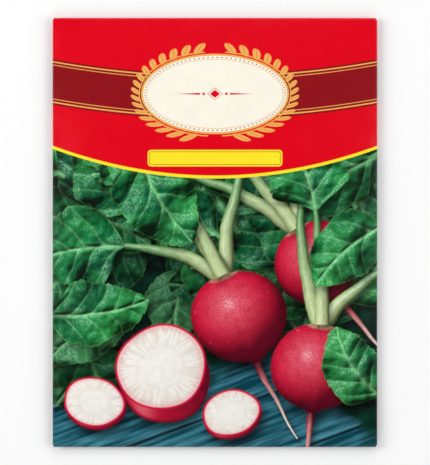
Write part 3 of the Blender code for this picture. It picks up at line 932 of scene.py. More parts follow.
SEED_PITCH, SEED_ROOM, SEED_SHAKE = 1.04, 0.54, 0.1
SEED_REACH_X, SEED_REACH_Y = 52, 70
SMALLEST_SEED, FLATTEST_SEED = 0.86, 0.84

# Longer than a side of the ball of twenty faces, and shorter than its diagonals
SIDE_LIMIT = 1.2


def ball_of_twenty():
    """(points, faces) of an icosahedron: the corners of three golden rectangles at right angles."""
    golden = (1 + 5**0.5) / 2
    rectangle = np.array([(-1, golden, 0), (1, golden, 0), (-1, -golden, 0), (1, -golden, 0)])
    points = np.concatenate((rectangle, np.roll(rectangle, 1, axis=1), np.roll(rectangle, 2, axis=1)))
    points = points / np.linalg.norm(points[0])
    gaps = np.linalg.norm(points[:, None] - points[None], axis=2)
    near = (gaps < SIDE_LIMIT) & (gaps > 0)
    numbers = np.arange(len(points))
    a, b, c = (part.ravel() for part in np.meshgrid(numbers, numbers, numbers, indexing="ij"))
    face = (a < b) & (a < c) & near[a, b] & near[b, c] & near[c, a]
    a, b, c = a[face], b[face], c[face]
    outward = np.einsum("ij,ij->i", np.cross(points[b] - points[a], points[c] - points[a]), points[a]) > 0
    return points, np.stack((a, b, c), axis=-1)[outward]


def turned(points, turns):
    """The same points turned by each row of three angles, about x, then y, then z."""
    points = np.repeat(points[None], len(turns), axis=0)
    for axis in range(3):
        one, two = (axis + 1) % 3, (axis + 2) % 3
        cos, sin = np.cos(turns[:, axis, None]), np.sin(turns[:, axis, None])
        first, second = points[..., one].copy(), points[..., two].copy()
        points[..., one] = first * cos - second * sin
        points[..., two] = first * sin + second * cos
    return points


def seed_places(size, shape, rng):
    """Centres of seeds in close-packed layers, a little shaken, wherever they fit between the two panels."""
    pitch = SEED_PITCH * size
    layer_rise = pitch * (2 / 3) ** 0.5
    row_gap = pitch * 0.75**0.5
    places = []
    for layer in range(int(THICKNESS / layer_rise)):
        rows = np.arange(-HEIGHT / 2, HEIGHT / 2, row_gap)
        columns = np.arange(-WIDTH / 2, WIDTH / 2, pitch)
        x, y = np.meshgrid(columns, rows)
        x = x + pitch / 2 * (np.arange(len(rows)) % 2)[:, None] + layer % 2 * pitch / 2
        y = y + layer % 2 * row_gap / 3
        x = x + rng.uniform(-SEED_SHAKE, SEED_SHAKE, x.shape)
        y = y + rng.uniform(-SEED_SHAKE, SEED_SHAKE, x.shape)
        low = back_height(x, y, shape.paper) + shape.paper
        high = front_height(x, y, shape) - shape.paper
        z = low + SEED_ROOM * size + layer * layer_rise
        spread = np.abs(x / SEED_REACH_X) ** 3 + np.abs(y / SEED_REACH_Y) ** 3 < 1
        fits = spread & (z + SEED_ROOM * size < high)
        places.append(np.stack((x, y, z), axis=-1)[fits])
    return np.concatenate(places)


def fill_seed(size, shape, material):
    """The loose seed: slightly flattened balls of twenty faces, each turned its own way."""
    rng = np.random.default_rng(21)
    points, faces = ball_of_twenty()
    places = seed_places(size, shape, rng)
    radii = size / 2 * rng.uniform(SMALLEST_SEED, 1.0, (len(places), 1, 1))
    squash = rng.uniform(FLATTEST_SEED, 1.0, (len(places), 1, 3))
    turns = rng.uniform(0, 2 * np.pi, (len(places), 3))
    balls = turned(points, turns) * squash * radii + places[:, None]
    faces = (faces[None] + len(points) * np.arange(len(places))[:, None, None]).reshape(-1, 3)
    seed = put_in_mesh("radish_seed_loose", balls.reshape(-1, 3), faces.tolist(), [material])
    add_values(seed.data, "tone", "FLOAT", np.repeat(rng.uniform(0, 1, len(places)), len(points)))
    return seed


# Materials: formulas written as node sums

class Signal:
    """A number that changes over the surface. Sums of signals become Math nodes in their node tree."""

    def __init__(self, tree, socket):
        """Takes a node's output and the tree that it is in."""
        self.tree, self.socket = tree, socket

    def math(self, operation, *others, clamp=False):
        """A Math node of this signal and of others, which may be numbers."""
        node = self.tree.nodes.new("ShaderNodeMath")
        node.operation, node.use_clamp = operation, clamp
        for slot, value in zip(node.inputs, (self, *others)):
            put_value(self.tree, slot, value)
        return Signal(self.tree, node.outputs[0])

    def __add__(self, other):
        return self.math("ADD", other)

    def __sub__(self, other):
        return self.math("SUBTRACT", other)

    def __rsub__(self, other):
        return self.math("MULTIPLY_ADD", -1.0, other)

    def __mul__(self, other):
        return self.math("MULTIPLY", other)

    def __truediv__(self, other):
        return self.math("DIVIDE", other)

    def __abs__(self):
        return self.math("ABSOLUTE")

    __radd__, __rmul__ = __add__, __mul__


def put_value(tree, slot, value):
    """Links a signal or an output to an input, or sets the input to a number or a colour."""
    if isinstance(value, Signal):
        value = value.socket
    if isinstance(value, bpy.types.NodeSocket):
        tree.links.new(value, slot)
    elif slot.type == "RGBA":
        slot.default_value = (*value, 1.0)
    else:
        slot.default_value = value


def put_values(tree, node, values):
    """Puts values in a node's inputs, by the inputs' names."""
    for label, value in values.items():
        put_value(tree, node.inputs[label], value)


def new_node(tree, kind, values, **settings):
    """A node with these settings, and then with values in its inputs."""
    node = tree.nodes.new(kind)
    for name, setting in settings.items():
        setattr(node, name, setting)
    put_values(tree, node, values)
    return node


def by_name(tree, sockets):
    """A node's outputs by their names, with the numbers among them as signals."""
    return {socket.name: Signal(tree, socket) if socket.type == "VALUE" else socket for socket in sockets}


# How softly printed ink ends
PRINT_EDGE = 0.16


def above(value, limit):
    """1 where value is over the limit, and 0 under it, with an edge as soft as printed ink's."""
    return ((value - limit) / PRINT_EDGE + 0.5).math("MULTIPLY", 1.0, clamp=True)


def below(value, limit):
    """1 where value is under the limit, and 0 over it."""
    return above(value * -1.0, -limit)


def between(value, low, high):
    """1 where value is over low and under high."""
    return above(value, low) * below(value, high)


def line(value, place, width):
    """1 on a line of that width where value passes place."""
    return below(abs(value - place), width / 2)


def bounded(value, low, high):
    """The value, kept from low to high."""
    return value.math("MAXIMUM", low).math("MINIMUM", high)


def any_of(*masks):
    """The strongest of some masks."""
    return reduce(lambda one, other: one.math("MAXIMUM", other), masks)


def hypot(x, y):
    """The distance from the origin: the root of the sum of squares."""
    return (x * x + y * y).math("SQRT")


def box_distance(x, y, half_x, half_y, corner):
    """How far outside a rounded rectangle round the origin a place is, and negative inside."""
    off_x, off_y = abs(x) - (half_x - corner), abs(y) - (half_y - corner)
    inside = off_x.math("MAXIMUM", off_y).math("MINIMUM", 0.0)
    return hypot(off_x.math("MAXIMUM", 0.0), off_y.math("MAXIMUM", 0.0)) + inside - corner


def disc(x, y, radius):
    """1 inside a circle round the origin."""
    return below(hypot(x, y), radius)


def stroke(value, along, first, last, width=0.5):
    """1 on a straight stroke: where value is near 0, from first to last along it."""
    return line(value, 0.0, width) * between(along, first, last)


def paint_over(tree, base, colour, mask):
    """A colour output: base, covered by colour where the mask is 1. Colours are outputs or three numbers."""
    return new_node(
        tree, "ShaderNodeMix", {"Factor": mask, "A": base, "B": colour}, data_type="RGBA"
    ).outputs["Result"]


def paint_layers(tree, base, layers):
    """A colour output: base, covered by one (colour, mask) after another."""
    for colour, mask in layers:
        base = paint_over(tree, base, colour, mask)
    return base


NUMBER, COLOUR = "NodeSocketFloat", "NodeSocketColor"
PLACE_INPUT = ("Place", "NodeSocketVector", None)


def colour_inputs(*labels):
    """Colour inputs of a group, without a default."""
    return [(label, COLOUR, None) for label in labels]


def new_group(name, inputs, outputs):
    """(tree, inputs by name, output node) of a fresh shader node group."""
    tree = bpy.data.node_groups.new(name, "ShaderNodeTree")
    for label, kind, default in inputs:
        socket = tree.interface.new_socket(label, in_out="INPUT", socket_type=kind)
        if default is not None:
            socket.default_value = default
    for label, kind in outputs:
        tree.interface.new_socket(label, in_out="OUTPUT", socket_type=kind)
    source, sink = tree.nodes.new("NodeGroupInput"), tree.nodes.new("NodeGroupOutput")
    return tree, by_name(tree, source.outputs), sink


def place_group(tree, group, values):
    """The outputs, by name, of a group placed in a tree with these values in its inputs."""
    return by_name(tree, new_node(tree, "ShaderNodeGroup", values, node_tree=group).outputs)


def noise_signal(tree, vector, scale, detail=2.0, roughness=0.5):
    """Blender's noise over a vector, 0 to 1 and mostly near a half."""
    values = {"Vector": vector, "Scale": scale, "Detail": detail, "Roughness": roughness}
    return Signal(tree, new_node(tree, "ShaderNodeTexNoise", values).outputs["Fac"])


def split(tree, vector):
    """A vector's first two parts, as signals."""
    node = new_node(tree, "ShaderNodeSeparateXYZ", {"Vector": vector})
    return Signal(tree, node.outputs["X"]), Signal(tree, node.outputs["Y"])


def grain_group():
    """Fine fibres and slow clouds for any paper: a height and a variation, from a place in millimetres."""
    tree, given, sink = new_group(
        "paper_grain", [PLACE_INPUT, ("Fibre", NUMBER, 0.5)], [("Height", NUMBER), ("Variation", NUMBER)]
    )
    fine = noise_signal(tree, given["Place"], 2.6, 3.0, 0.65)
    broad = noise_signal(tree, given["Place"], 0.16)
    put_values(tree, sink, {
        "Height": fine * given["Fibre"] + broad * 0.2,
        "Variation": fine * 0.45 + broad * 0.55,
    })
    return tree


def wear_group():
    """Where the print has cracked off: along folds and cut edges, most at the corners, in broken specks."""
    tree, given, sink = new_group(
        "fold_wear",
        [PLACE_INPUT, ("Edge Distance", NUMBER, 10.0), ("Corner", NUMBER, 0.0), ("Amount", NUMBER, 0.5)],
        [("Mask", NUMBER)],
    )
    speck = noise_signal(tree, given["Place"], 1.7, 4.0, 0.7)
    patch = noise_signal(tree, given["Place"], 0.12, 1.0)
    near = (1.0 - given["Edge Distance"] / (0.42 + given["Corner"] * 0.4)).math("MAXIMUM", 0.0)
    wanted = near * (given["Amount"] + given["Corner"] * 0.25) * (patch * 1.6 + 0.1)
    mask = ((wanted + speck - 0.80) * 5.0).math("MULTIPLY", 1.0, clamp=True)
    put_values(tree, sink, {"Mask": mask})
    return tree


# The head of the packet: its badge with the wreath, the bar, and the sash with its hairlines' (inset, width)
BADGE_Y, BADGE_HALF_X, BADGE_HALF_Y = 51.5, 27.0, 14.5
BADGE_DOTS, WREATH_LEAVES, WREATH_FOOT, WREATH_REACH = 46, 19, 0.7, 3.4
BAR_Y, BAR_HALF_X, BAR_HALF_Y, BAR_ROUND = 27.6, 25.0, 3.1, 1.4
SASH_FOOT, SASH_ARCH, SASH_WIDTH = 42.0, 5.5, 17.0
HAIRLINES = ((1.0, 0.50), (2.15, 0.28))


def badge_masks(x, y):
    """(inside, ring, dots, wreath): the parts of the oval badge, from its own rings and angles."""
    across, up = x / BADGE_HALF_X, (y - BADGE_Y) / BADGE_HALF_Y
    share = hypot(across, up)
    size = 1.0 / (BADGE_HALF_X * BADGE_HALF_Y) ** 0.5
    angle = abs(across).math("ARCTAN2", up * -1.0)
    steepness = (x * x / BADGE_HALF_X**4 + (y - BADGE_Y) * (y - BADGE_Y) / BADGE_HALF_Y**4).math("SQRT")
    outside = (share * share - 1.0) / (steepness * 2.0 + size * 0.001)
    ring = any_of(line(outside, 0.1, 0.75), line(outside, -1.7, 0.22))
    # Dots on a ring just inside, and a wreath of leaves outside that run up both sides from the foot
    dot_off = ((angle * (BADGE_DOTS / np.pi)).math("FRACT") - 0.5) * 1.35
    dots = disc(dot_off, outside + 0.95, 0.24)
    reach = (outside - WREATH_FOOT) / WREATH_REACH
    leaf_turn = angle * (WREATH_LEAVES / np.pi) - reach * 0.75
    leaf_off = abs(leaf_turn.math("FRACT") - 0.5)
    lens = bounded(reach * (1.0 - reach) * 4.0, 0.0, 1.0).math("SQRT") * 0.34
    leaf = above((lens - leaf_off) * 3.0, 0.0) * above(reach, 0.02) * below(reach, 0.99)
    vein = line(leaf_off * 3.0, 0.0, 0.16)
    whole = between(leaf_turn, 1.0, WREATH_LEAVES - 1.0)
    stem = line(outside, 1.15, 0.4) * between(angle * BADGE_HALF_X, 2.4, np.pi * BADGE_HALF_X - 3.6)
    return below(outside, 0.0), ring, dots, any_of(leaf * (1.0 - vein * 0.7) * whole, stem)


def ornament_mask(x, y):
    """A small printer's ornament: a diamond, a bead to each side, and two lines that taper away."""
    side, rise = abs(x), abs(y - BADGE_Y)
    slant = side * 0.8 + rise
    taper = above((14.0 - side) * 0.045 - rise, 0.0) * above(side, 5.6)
    return any_of(below(slant, 1.5), line(slant, 2.2, 0.22), disc(side - 4.2, rise, 0.5), taper)


def front_group():
    """The front's print: red head, dark sash with gold hairlines, badge, bar and rule, over the picture."""
    tree, given, sink = new_group(
        "front_print",
        [PLACE_INPUT, *colour_inputs("Picture", "Red", "Sash", "Gold", "Yellow", "Cream")],
        [("Color", COLOUR)],
    )
    red, sash, gold, yellow = (given[name] for name in ("Red", "Sash", "Gold", "Yellow"))
    x, y = split(tree, given["Place"])
    bow = (x / ARCH_REACH) * (x / ARCH_REACH)
    over_picture = y - HEAD_FOOT - bow * HEAD_ARCH
    over_sash = y - SASH_FOOT - bow * SASH_ARCH
    hairlines = [
        (gold, line(over_sash, place, width))
        for inset, width in HAIRLINES
        for place in (inset, SASH_WIDTH - inset)
    ]
    inside, ring, dots, wreath = badge_masks(x, y)
    bar = box_distance(x, y - BAR_Y, BAR_HALF_X, BAR_HALF_Y, BAR_ROUND)
    colour = paint_layers(tree, given["Picture"], [
        (yellow, above(over_picture, 0.0)),
        (red, above(over_picture, RULE_WIDTH)),
        (sash, between(over_sash, 0.0, SASH_WIDTH)),
        *hairlines,
        (gold, wreath),
        (given["Cream"], inside),
        (gold, ring),
        (sash, dots),
        (red, ornament_mask(x, y)),
        (yellow, below(bar, 0.0)),
        (sash, line(bar, -0.75, 0.18)),
        # The picture runs a little past the fold, and the bottom flap is plain
        (red, below(y, -(TOP + END_TURN + BLEED))),
    ])
    put_values(tree, sink, {"Color": colour})
    return tree


# The back's print: a head with a rule, a lined box, a year of twelve squares, four signs and a foot
BACK_MIDDLE = LEFT - LEFT_TURN + LEFT + SIDE_FLAP_WIDTH / 2
BACK_HEAD, BACK_FOOT, BACK_RULE = 43.0, -51.0, 1.2
LINES_Y, LINES_HALF_X, LINES_HALF_Y, LINE_PITCH = 20.5, 45.0, 17.5, 5.0
YEAR_Y, YEAR_CELL, YEAR_TALL = -7.5, 7.5, 9.0
SOW_MONTHS, PICK_MONTHS = (2.0, 8.0), (4.0, 10.0)
SIGNS_Y, SIGN_PITCH, SIGN_HALF = -31.0, 22.0, 8.0
FRAME_ROUND, FRAME_LINE = 2.0, 0.5
GROUND_HALF, SEEDLING_OFF = 5.4, 3.2


def sun_sign(x, y):
    """A disc with twelve rays, for a sunny place."""
    out = hypot(x, y)
    off_ray = ((x.math("ARCTAN2", y) * (6 / np.pi)).math("FRACT") - 0.5) * (np.pi / 6) * out
    return any_of(disc(x, y, 2.4), stroke(off_ray, out, 3.4, 5.4, 0.6))


def water_sign(x, y):
    """A drop: a disc whose sides run up to a point."""
    point = above((4.6 - y) * 0.47 - abs(x), 0.0) * between(y, -0.2, 4.6)
    return any_of(disc(x, y + 1.2, 2.6), point)


def depth_sign(x, y):
    """A line of ground, a seed below it, and a measure from one to the other."""
    ground = stroke(y - 2.4, x, -GROUND_HALF, GROUND_HALF)
    seed = disc(x + 1.0, y + 2.6, 1.1)
    return any_of(ground, seed, stroke(x - 3.0, y, -2.6, 2.4), stroke(y + 2.6, x, 2.0, 4.0))


def spacing_sign(x, y):
    """Two seedlings on a line of ground, and a measure between them."""
    side = abs(x) - SEEDLING_OFF
    return any_of(
        stroke(y + 3.4, x, -GROUND_HALF, GROUND_HALF),
        stroke(abs(side) - (y + 0.6) * 0.8, y, -0.6, 1.4),
        stroke(side, y, -3.4, -0.4),
        stroke(y - 4.0, x, -SEEDLING_OFF, SEEDLING_OFF),
        stroke(side, y, 3.2, 4.8),
    )


def back_group():
    """The back's print: rules, boxes, squares and signs, laid over plain paper in red, yellow and green."""
    tree, given, sink = new_group(
        "back_print", [PLACE_INPUT, *colour_inputs("Paper", "Red", "Yellow", "Green")], [("Color", COLOUR)]
    )
    red, yellow, green = (given[name] for name in ("Red", "Yellow", "Green"))
    flat_x, y = split(tree, given["Place"])
    x = flat_x - BACK_MIDDLE
    box = box_distance(x, y - LINES_Y, LINES_HALF_X, LINES_HALF_Y, FRAME_ROUND)
    row = ((y - LINES_Y) / LINE_PITCH).math("FRACT") - 0.5
    ruled = line(row * LINE_PITCH, 0.0, 0.28) * below(box, -3.5)
    # Twelve squares: the months to sow are filled below their middle line, the months to pick above it
    month = x / YEAR_CELL + 6.0
    cell_x = (month.math("FRACT") - 0.5) * YEAR_CELL
    in_year = between(month, 0.0, 12.0)
    cell = box_distance(cell_x, y - YEAR_Y, YEAR_CELL / 2 - 0.35, YEAR_TALL / 2, 0.8)
    inner = below(cell, -0.65) * in_year
    layers = [
        (yellow, above(y, BACK_HEAD)),
        (red, above(y, BACK_HEAD + RULE_WIDTH)),
        (red, line(box, 0.0, FRAME_LINE)),
        (green, ruled * 0.7),
        (green, inner * between(month, *SOW_MONTHS) * below(y - YEAR_Y, -0.25)),
        (red, inner * between(month, *PICK_MONTHS) * above(y - YEAR_Y, 0.25)),
        (green, line(cell, 0.0, 0.35) * in_year),
    ]
    # Four signs in green frames
    rise = y - SIGNS_Y
    for number, sign in enumerate((sun_sign, water_sign, depth_sign, spacing_sign)):
        across = x - (number - 1.5) * SIGN_PITCH
        frame_box = box_distance(across, rise, SIGN_HALF, SIGN_HALF, FRAME_ROUND)
        layers.append((green, any_of(sign(across, rise), line(frame_box, 0.0, FRAME_LINE))))
    layers += [(yellow, between(y, BACK_FOOT, BACK_FOOT + BACK_RULE)), (red, below(y, BACK_FOOT))]
    put_values(tree, sink, {"Color": paint_layers(tree, given["Paper"], layers)})
    return tree


def new_material(name):
    """(material, tree, shader) of a fresh material with its Principled BSDF."""
    material = bpy.data.materials.new(name)
    material.use_nodes = True
    tree = material.node_tree
    return material, tree, tree.nodes["Principled BSDF"]


def attribute(tree, name, output="Fac"):
    """The output of one of the mesh's attributes."""
    return new_node(tree, "ShaderNodeAttribute", {}, attribute_name=name).outputs[output]


def map_place(tree, name="flat_sheet"):
    """A place on one of the sheet's maps."""
    return new_node(tree, "ShaderNodeUVMap", {}, uv_map=name).outputs["UV"]


def scaled(tree, vector, factor):
    """A vector or a colour, times a number or a signal."""
    values = {"Vector": vector, "Scale": factor}
    return new_node(tree, "ShaderNodeVectorMath", values, operation="SCALE").outputs["Vector"]


def object_place(tree):
    """Object coordinates in millimetres."""
    return scaled(tree, tree.nodes.new("ShaderNodeTexCoord").outputs["Object"], 1 / METRES)


def bumped(tree, height, depth_mm):
    """A normal, bumped by a height that runs from 0 to 1 over that depth."""
    values = {"Strength": 1.0, "Distance": depth_mm * METRES, "Height": height}
    return new_node(tree, "ShaderNodeBump", values).outputs["Normal"]


def toned(colour, share):
    """A colour's parts times a share, and at most 1."""
    return tuple(min(1.0, share * part) for part in colour)


def ink_colour(tree):
    """The picture between a cell's nine colours: mixed along each of three rows, then from row to row."""
    across, up = (
        (bounded(share * 2.0, 0.0, 1.0), bounded(share * 2.0 - 1.0, 0.0, 1.0))
        for share in split(tree, map_place(tree, "in_cell"))
    )
    rows = []
    for row in range(3):
        first, middle, last = (attribute(tree, f"ink_{row}{column}", "Color") for column in range(3))
        rows.append(paint_layers(tree, first, ((middle, across[0]), (last, across[1]))))
    return paint_layers(tree, rows[0], ((rows[1], up[0]), (rows[2], up[1])))


# Depths of the fine relief, in millimetres
PRINT_RELIEF, FIBRE_RELIEF, GUM_RELIEF, COAT_RELIEF = 0.035, 0.05, 0.06, 0.05


def print_material(colours, wear, grain, worn):
    """Glossy coated paper with its print: head and picture on the front, and a plain form on the back."""
    material, tree, shader = new_material("printed_coated_paper")
    place = map_place(tree)
    texture = place_group(tree, grain, {"Place": place, "Fibre": 0.35})
    variation = texture["Variation"]
    front = place_group(tree, front_group(), {
        "Place": place, "Picture": ink_colour(tree), "Red": colours.red, "Sash": colours.sash,
        "Gold": colours.gold, "Yellow": colours.yellow, "Cream": colours.cream,
    })
    back = place_group(tree, back_group(), {
        "Place": place, "Paper": colours.cream, "Red": colours.red, "Yellow": colours.yellow,
        "Green": colours.green,
    })
    on_front = between(split(tree, place)[0], LEFT - LEFT_TURN - BLEED, RIGHT + RIGHT_TURN + BLEED)
    colour = paint_over(tree, back["Color"], front["Color"], on_front)
    # The ink lies a little unevenly, and cracks white at the folds
    colour = scaled(tree, colour, (variation - 0.5) * 0.16 + 1.0)
    rub = place_group(tree, worn, {
        "Place": place, "Edge Distance": attribute(tree, "edge_distance"),
        "Corner": attribute(tree, "corner_wear"), "Amount": wear,
    })["Mask"]
    put_values(tree, shader, {
        "Base Color": paint_over(tree, colour, colours.core, rub),
        "Roughness": (variation - 0.5) * 0.22 + 0.34 + rub * 0.35,
        "Specular IOR Level": 0.2,
        "Coat Weight": 0.04,
        "Coat Roughness": 0.25,
        "Normal": bumped(tree, texture["Height"] - rub * 0.7, PRINT_RELIEF),
    })
    return material


def core_material(colours, grain):
    """The sheet's uncoated inner face and its cut edge: soft white paper with visible fibre."""
    material, tree, shader = new_material("uncoated_paper")
    texture = place_group(tree, grain, {"Place": map_place(tree), "Fibre": 0.9})
    variation = texture["Variation"]
    put_values(tree, shader, {
        "Base Color": paint_over(tree, toned(colours.core, 0.86), colours.core, variation * 1.6 - 0.3),
        "Roughness": variation * 0.2 + 0.72,
        "Normal": bumped(tree, texture["Height"], FIBRE_RELIEF),
    })
    return material


def gum_material(tint):
    """Dried gum: pale amber, brushed on in streaks, with small bubbles."""
    material, tree, shader = new_material("dried_gum_film")
    place = object_place(tree)
    streak, bubble = noise_signal(tree, place, 0.5, 3.0), noise_signal(tree, place, 2.2, 1.0)
    put_values(tree, shader, {
        "Base Color": paint_over(tree, toned(tint, 0.55), tint, streak * 1.5 - 0.2),
        "Roughness": bubble * 0.3 + 0.18,
        "Normal": bumped(tree, streak * 0.6 + bubble * 0.4, GUM_RELIEF),
    })
    return material


def seed_material(tint):
    """A seed's coat: each seed its own tone, darker in patches, finely netted."""
    material, tree, shader = new_material("radish_seed_coat")
    place = object_place(tree)
    tone = Signal(tree, attribute(tree, "tone"))
    patch, net = noise_signal(tree, place, 0.9), noise_signal(tree, place, 4.0)
    put_values(tree, shader, {
        "Base Color": paint_layers(tree, toned(tint, 0.35), (
            (tint, patch * 1.8 - 0.3), (toned(tint, 1.7), tone * tone * 0.7),
        )),
        "Roughness": net * 0.25 + 0.45,
        "Normal": bumped(tree, net, COAT_RELIEF),
    })
    return material


def floor_material(tint):
    """A plain pale sweep, just uneven enough not to look computed."""
    material, tree, shader = new_material("pale_floor")
    drift = noise_signal(tree, object_place(tree), 0.004)
    put_values(tree, shader, {
        "Base Color": paint_over(tree, toned(tint, 0.99), tint, drift),
        "Roughness": 0.9,
        "Specular IOR Level": 0.1,
    })
    return material


# The stage

# The heights of the photograph and of the packet in it, in pixels
PHOTO_HEIGHT, PACKET_PIXELS = 465, 430
CAMERA_SENSOR = 36.0
PRINT_PLANE = 4.0
FLOOR_HALF = 3000.0

# How steeply upward the room's walls begin to darken, and where the ceiling's brightness is reached
WALLS_END, CEILING_START = 0.12, 0.62

# Each soft box's place in millimetres and its share of the light: the left and right ones are the strongest
SOFT_BOX_SIZE = 560.0
SOFT_BOXES = (
    ("left_soft_box", (-740, 150, 480), 1.0),
    ("right_soft_box", (740, -60, 480), 0.76),
    ("upper_soft_box", (120, 760, 480), 0.56),
    ("lower_soft_box", (-120, -760, 480), 0.40),
)


def stage_floor(tint):
    """The pale floor, far wider than the picture."""
    corners = np.array([(-1, -1, 0), (1, -1, 0), (1, 1, 0), (-1, 1, 0)]) * FLOOR_HALF
    floor = put_in_mesh("floor", corners, [(0, 1, 2, 3)], [floor_material(tint)])


def soft_box(name, place, watts):
    """A square soft light, aimed at the packet."""
    light = bpy.data.lights.new(name, "AREA")
    light.shape, light.size, light.energy = "SQUARE", SOFT_BOX_SIZE * METRES, watts
    lamp = bpy.data.objects.new(name, light)
    lamp.location = np.array(place) * METRES
    lamp.rotation_euler = (-lamp.location).to_track_quat("-Z", "Y").to_euler()
    bpy.context.scene.collection.objects.link(lamp)


def photo_camera(lens):
    """Straight above the packet, far enough off that it fills as many pixels as in the photograph."""
    camera = bpy.data.cameras.new("photo_camera")
    camera.lens, camera.sensor_width, camera.sensor_fit = lens, CAMERA_SENSOR, "AUTO"
    frame_tall = HEIGHT * PHOTO_HEIGHT / PACKET_PIXELS
    eye = bpy.data.objects.new("photo_camera", camera)
    eye.location = (0, 0, (PRINT_PLANE + frame_tall * lens / CAMERA_SENSOR) * METRES)
    bpy.context.scene.collection.objects.link(eye)
    bpy.context.scene.camera = eye


def set_world(walls, ceiling):
    """A pale room with a dark ceiling, so that the glossy paper mirrors nothing bright straight up."""
    world = bpy.data.worlds.new("soft_room")
    world.use_nodes = True
    tree = world.node_tree
    way = tree.nodes.new("ShaderNodeTexCoord").outputs["Generated"]
    upward = new_node(tree, "ShaderNodeSeparateXYZ", {"Vector": way}).outputs["Z"]
    brightness = new_node(tree, "ShaderNodeMapRange", {
        "Value": upward, "From Min": WALLS_END, "From Max": CEILING_START, "To Min": walls, "To Max": ceiling,
    }, interpolation_type="SMOOTHSTEP")
    put_values(tree, tree.nodes["Background"], {"Color": (1, 1, 1), "Strength": brightness.outputs["Result"]})
    bpy.context.scene.world = world


# The add-on

def length_setting(name, description, millimetres):
    """A length, kept in metres."""
    return FloatProperty(
        name=name, description=description, default=millimetres * METRES, min=0, unit="LENGTH", precision=5
    )


def colour_setting(name, description, red, green, blue):
    """A colour, from its 0 to 255 display values."""
    return FloatVectorProperty(
        name=name, description=description, default=tuple(rgb(red, green, blue)), size=3, subtype="COLOR",
        min=0, max=1,
    )


class SheetSettings(PropertyGroup):
    """Sizes of the folded sheet."""

    paper: length_setting("Paper", "Thickness of the paper", 0.2)
    lumps: length_setting("Lumps", "Height of the filling's slow lumps", 0.22)
    seed_bumps: length_setting("Seed bumps", "Height of the bumps that single seeds press up", 0.07)
    puckers: length_setting("Puckers", "Depth of the short folds at the edges", 0.22)
    wear: FloatProperty(
        name="Wear", description="How much print has come off the folds", default=0.18, min=0, max=1,
        subtype="FACTOR",
    )


class PrintSettings(PropertyGroup):
    """Colours of the print."""

    red: colour_setting("Red", "The head of the packet", 224, 0, 26)
    sash: colour_setting("Sash", "The dark band across the head", 143, 14, 24)
    gold: colour_setting("Gold", "Hairlines, ring and wreath", 240, 176, 92)
    yellow: colour_setting("Yellow", "The rule over the picture and the bar", 255, 229, 43)
    cream: colour_setting("Cream", "The badge and the back", 249, 244, 228)
    green: colour_setting("Green", "Lines on the back", 24, 126, 64)
    core: colour_setting("Core", "Bare paper inside, at cut edges and where the print is worn", 244, 241, 233)


class FillSettings(PropertyGroup):
    """The seed and the gum."""

    seed_size: length_setting("Seed size", "Diameter of the largest seeds", 2.7)
    seed_colour: colour_setting("Seed colour", "The seeds' coats", 150, 92, 56)
    gum_film: length_setting("Gum film", "Thickness of the dried gum", 0.09)
    gum_wander: length_setting("Gum wander", "How unevenly the gum's margins run", 0.7)
    gum_colour: colour_setting("Gum colour", "The dried gum", 226, 214, 186)


class StageSettings(PropertyGroup):
    """Floor, lights and camera."""

    lens: FloatProperty(
        name="Lens", description="Focal length", default=250, min=20, subtype="DISTANCE_CAMERA"
    )
    key: FloatProperty(
        name="Soft boxes", description="Power of the strongest one", default=5.7, min=0, unit="POWER"
    )
    walls: FloatProperty(name="Walls", description="Brightness of the room's walls", default=0.34, min=0)
    ceiling: FloatProperty(
        name="Ceiling", description="Brightness of the room's ceiling", default=0.04, min=0
    )
    floor: colour_setting("Floor", "The pale floor", 250, 250, 250)


def seed_packet_piece(piece, slot, *nodes):
    """Puts a piece in the frame: on the one body, and in place of its CAD nodes."""
    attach(piece, "root")
    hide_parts(*nodes)


# The sheet's lengths in millimetres
Shape = namedtuple("Shape", "paper lumps seed_bumps puckers")

# Random patterns of the gum strips: the first one's seed, and the step from strip to strip
GUM_SEED, GUM_SEED_STEP = 40, 10


def sheet_shape(scene):
    """The scene's settings of the sheet, in millimetres."""
    settings = scene.packet_sheet_settings
    return Shape(*(getattr(settings, name) / METRES for name in Shape._fields))


def gum_height(layer_height):
    """The middle of the gap above a layer."""
    return lambda x, y: layer_height(x, y) + LAYER_PITCH / 2


class PACKET_OT_fold_sheet(Operator):
    """Fold the printed sheet and give it its paper and ink"""

    bl_idname = "packet.fold_sheet"
    bl_label = "Fold the printed sheet"

    def execute(self, context):
        scene = context.scene
        colours, settings = scene.packet_print_settings, scene.packet_sheet_settings
        grain = grain_group()
        materials = [
            print_material(colours, settings.wear, grain, wear_group()),
            core_material(colours, grain),
        ]
        sheet = fold_sheet(sheet_shape(scene), materials)
        seed_packet_piece(sheet, "coated_paper", "packet_sheet")
        return {"FINISHED"}


class PACKET_OT_lay_gum(Operator):
    """Lay the three strips of gum that hold the packet shut"""

    bl_idname = "packet.lay_gum"
    bl_label = "Lay the gum strips"

    def execute(self, context):
        settings = context.scene.packet_fill_settings
        film, wander = settings.gum_film / METRES, settings.gum_wander / METRES
        gum = gum_material(settings.gum_colour)
        for number, (name, low, high, layer_height) in enumerate((
            ("side_seam_glue", SEAM_LOW, SEAM_HIGH, side_flap_height),
            ("bottom_flap_glue", BOTTOM_GUM_LOW, BOTTOM_GUM_HIGH, end_flap_height),
            ("top_flap_glue", TOP_GUM_LOW, TOP_GUM_HIGH, end_flap_height),
        )):
            seed = GUM_SEED + GUM_SEED_STEP * number
            strip = gum_strip(name + "_film", low, high, gum_height(layer_height), film, wander, seed, gum)
            seed_packet_piece(strip, "dried_gum", name)
        return {"FINISHED"}


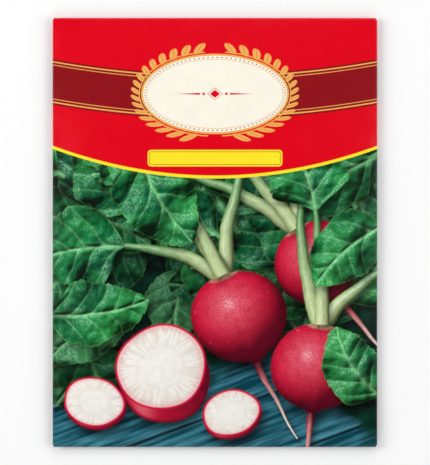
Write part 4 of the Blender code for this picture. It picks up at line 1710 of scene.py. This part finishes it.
class PACKET_OT_fill_seed(Operator):
    """Fill the packet with loose radish seed"""

    bl_idname = "packet.fill_seed"
    bl_label = "Fill in the seed"

    def execute(self, context):
        settings = context.scene.packet_fill_settings
        coat = seed_material(settings.seed_colour)
        seed = fill_seed(settings.seed_size / METRES, sheet_shape(context.scene), coat)
        seed_packet_piece(seed, "seed_coat", "radish_seed")
        return {"FINISHED"}


class PACKET_OT_set_stage(Operator):
    """Set up the pale floor, the soft lights and the camera straight above"""

    bl_idname = "packet.set_stage"
    bl_label = "Set the stage"

    def execute(self, context):
        settings = context.scene.packet_stage_settings
        stage_floor(settings.floor)
        photo_camera(settings.lens)
        for name, place, share in SOFT_BOXES:
            soft_box(name, place, settings.key * share)
        set_world(settings.walls, settings.ceiling)
        context.scene.view_settings.view_transform = "Standard"
        return {"FINISHED"}


OPERATORS = (PACKET_OT_fold_sheet, PACKET_OT_lay_gum, PACKET_OT_fill_seed, PACKET_OT_set_stage)
SETTINGS = {
    "packet_sheet_settings": SheetSettings,
    "packet_print_settings": PrintSettings,
    "packet_fill_settings": FillSettings,
    "packet_stage_settings": StageSettings,
}


class PACKET_PT_sidebar(Panel):
    """The packet's pieces and their settings"""

    bl_idname = "PACKET_PT_sidebar"
    bl_label = "Seed packet"
    bl_space_type = "VIEW_3D"
    bl_region_type = "UI"
    bl_category = "Seed packet"

    def draw(self, context):
        for group_name, group in SETTINGS.items():
            box = self.layout.box()
            for setting in group.__annotations__:
                box.prop(getattr(context.scene, group_name), setting)
        for operator in OPERATORS:
            self.layout.operator(operator.bl_idname)


def register():
    """Registers the classes, and gives the scene its settings."""
    for item in (*SETTINGS.values(), *OPERATORS, PACKET_PT_sidebar):
        bpy.utils.register_class(item)
    for name, group in SETTINGS.items():
        setattr(bpy.types.Scene, name, PointerProperty(type=group))


def unregister():
    """Takes the settings and the classes away again."""
    for name in SETTINGS:
        delattr(bpy.types.Scene, name)
    for item in reversed((*SETTINGS.values(), *OPERATORS, PACKET_PT_sidebar)):
        bpy.utils.unregister_class(item)


def main():
    """Builds the packet and its stage."""
    register()
    bpy.ops.packet.fold_sheet()
    bpy.ops.packet.lay_gum()
    bpy.ops.packet.fill_seed()
    bpy.ops.packet.set_stage()
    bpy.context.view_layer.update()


if __name__ == "__main__":
    main()
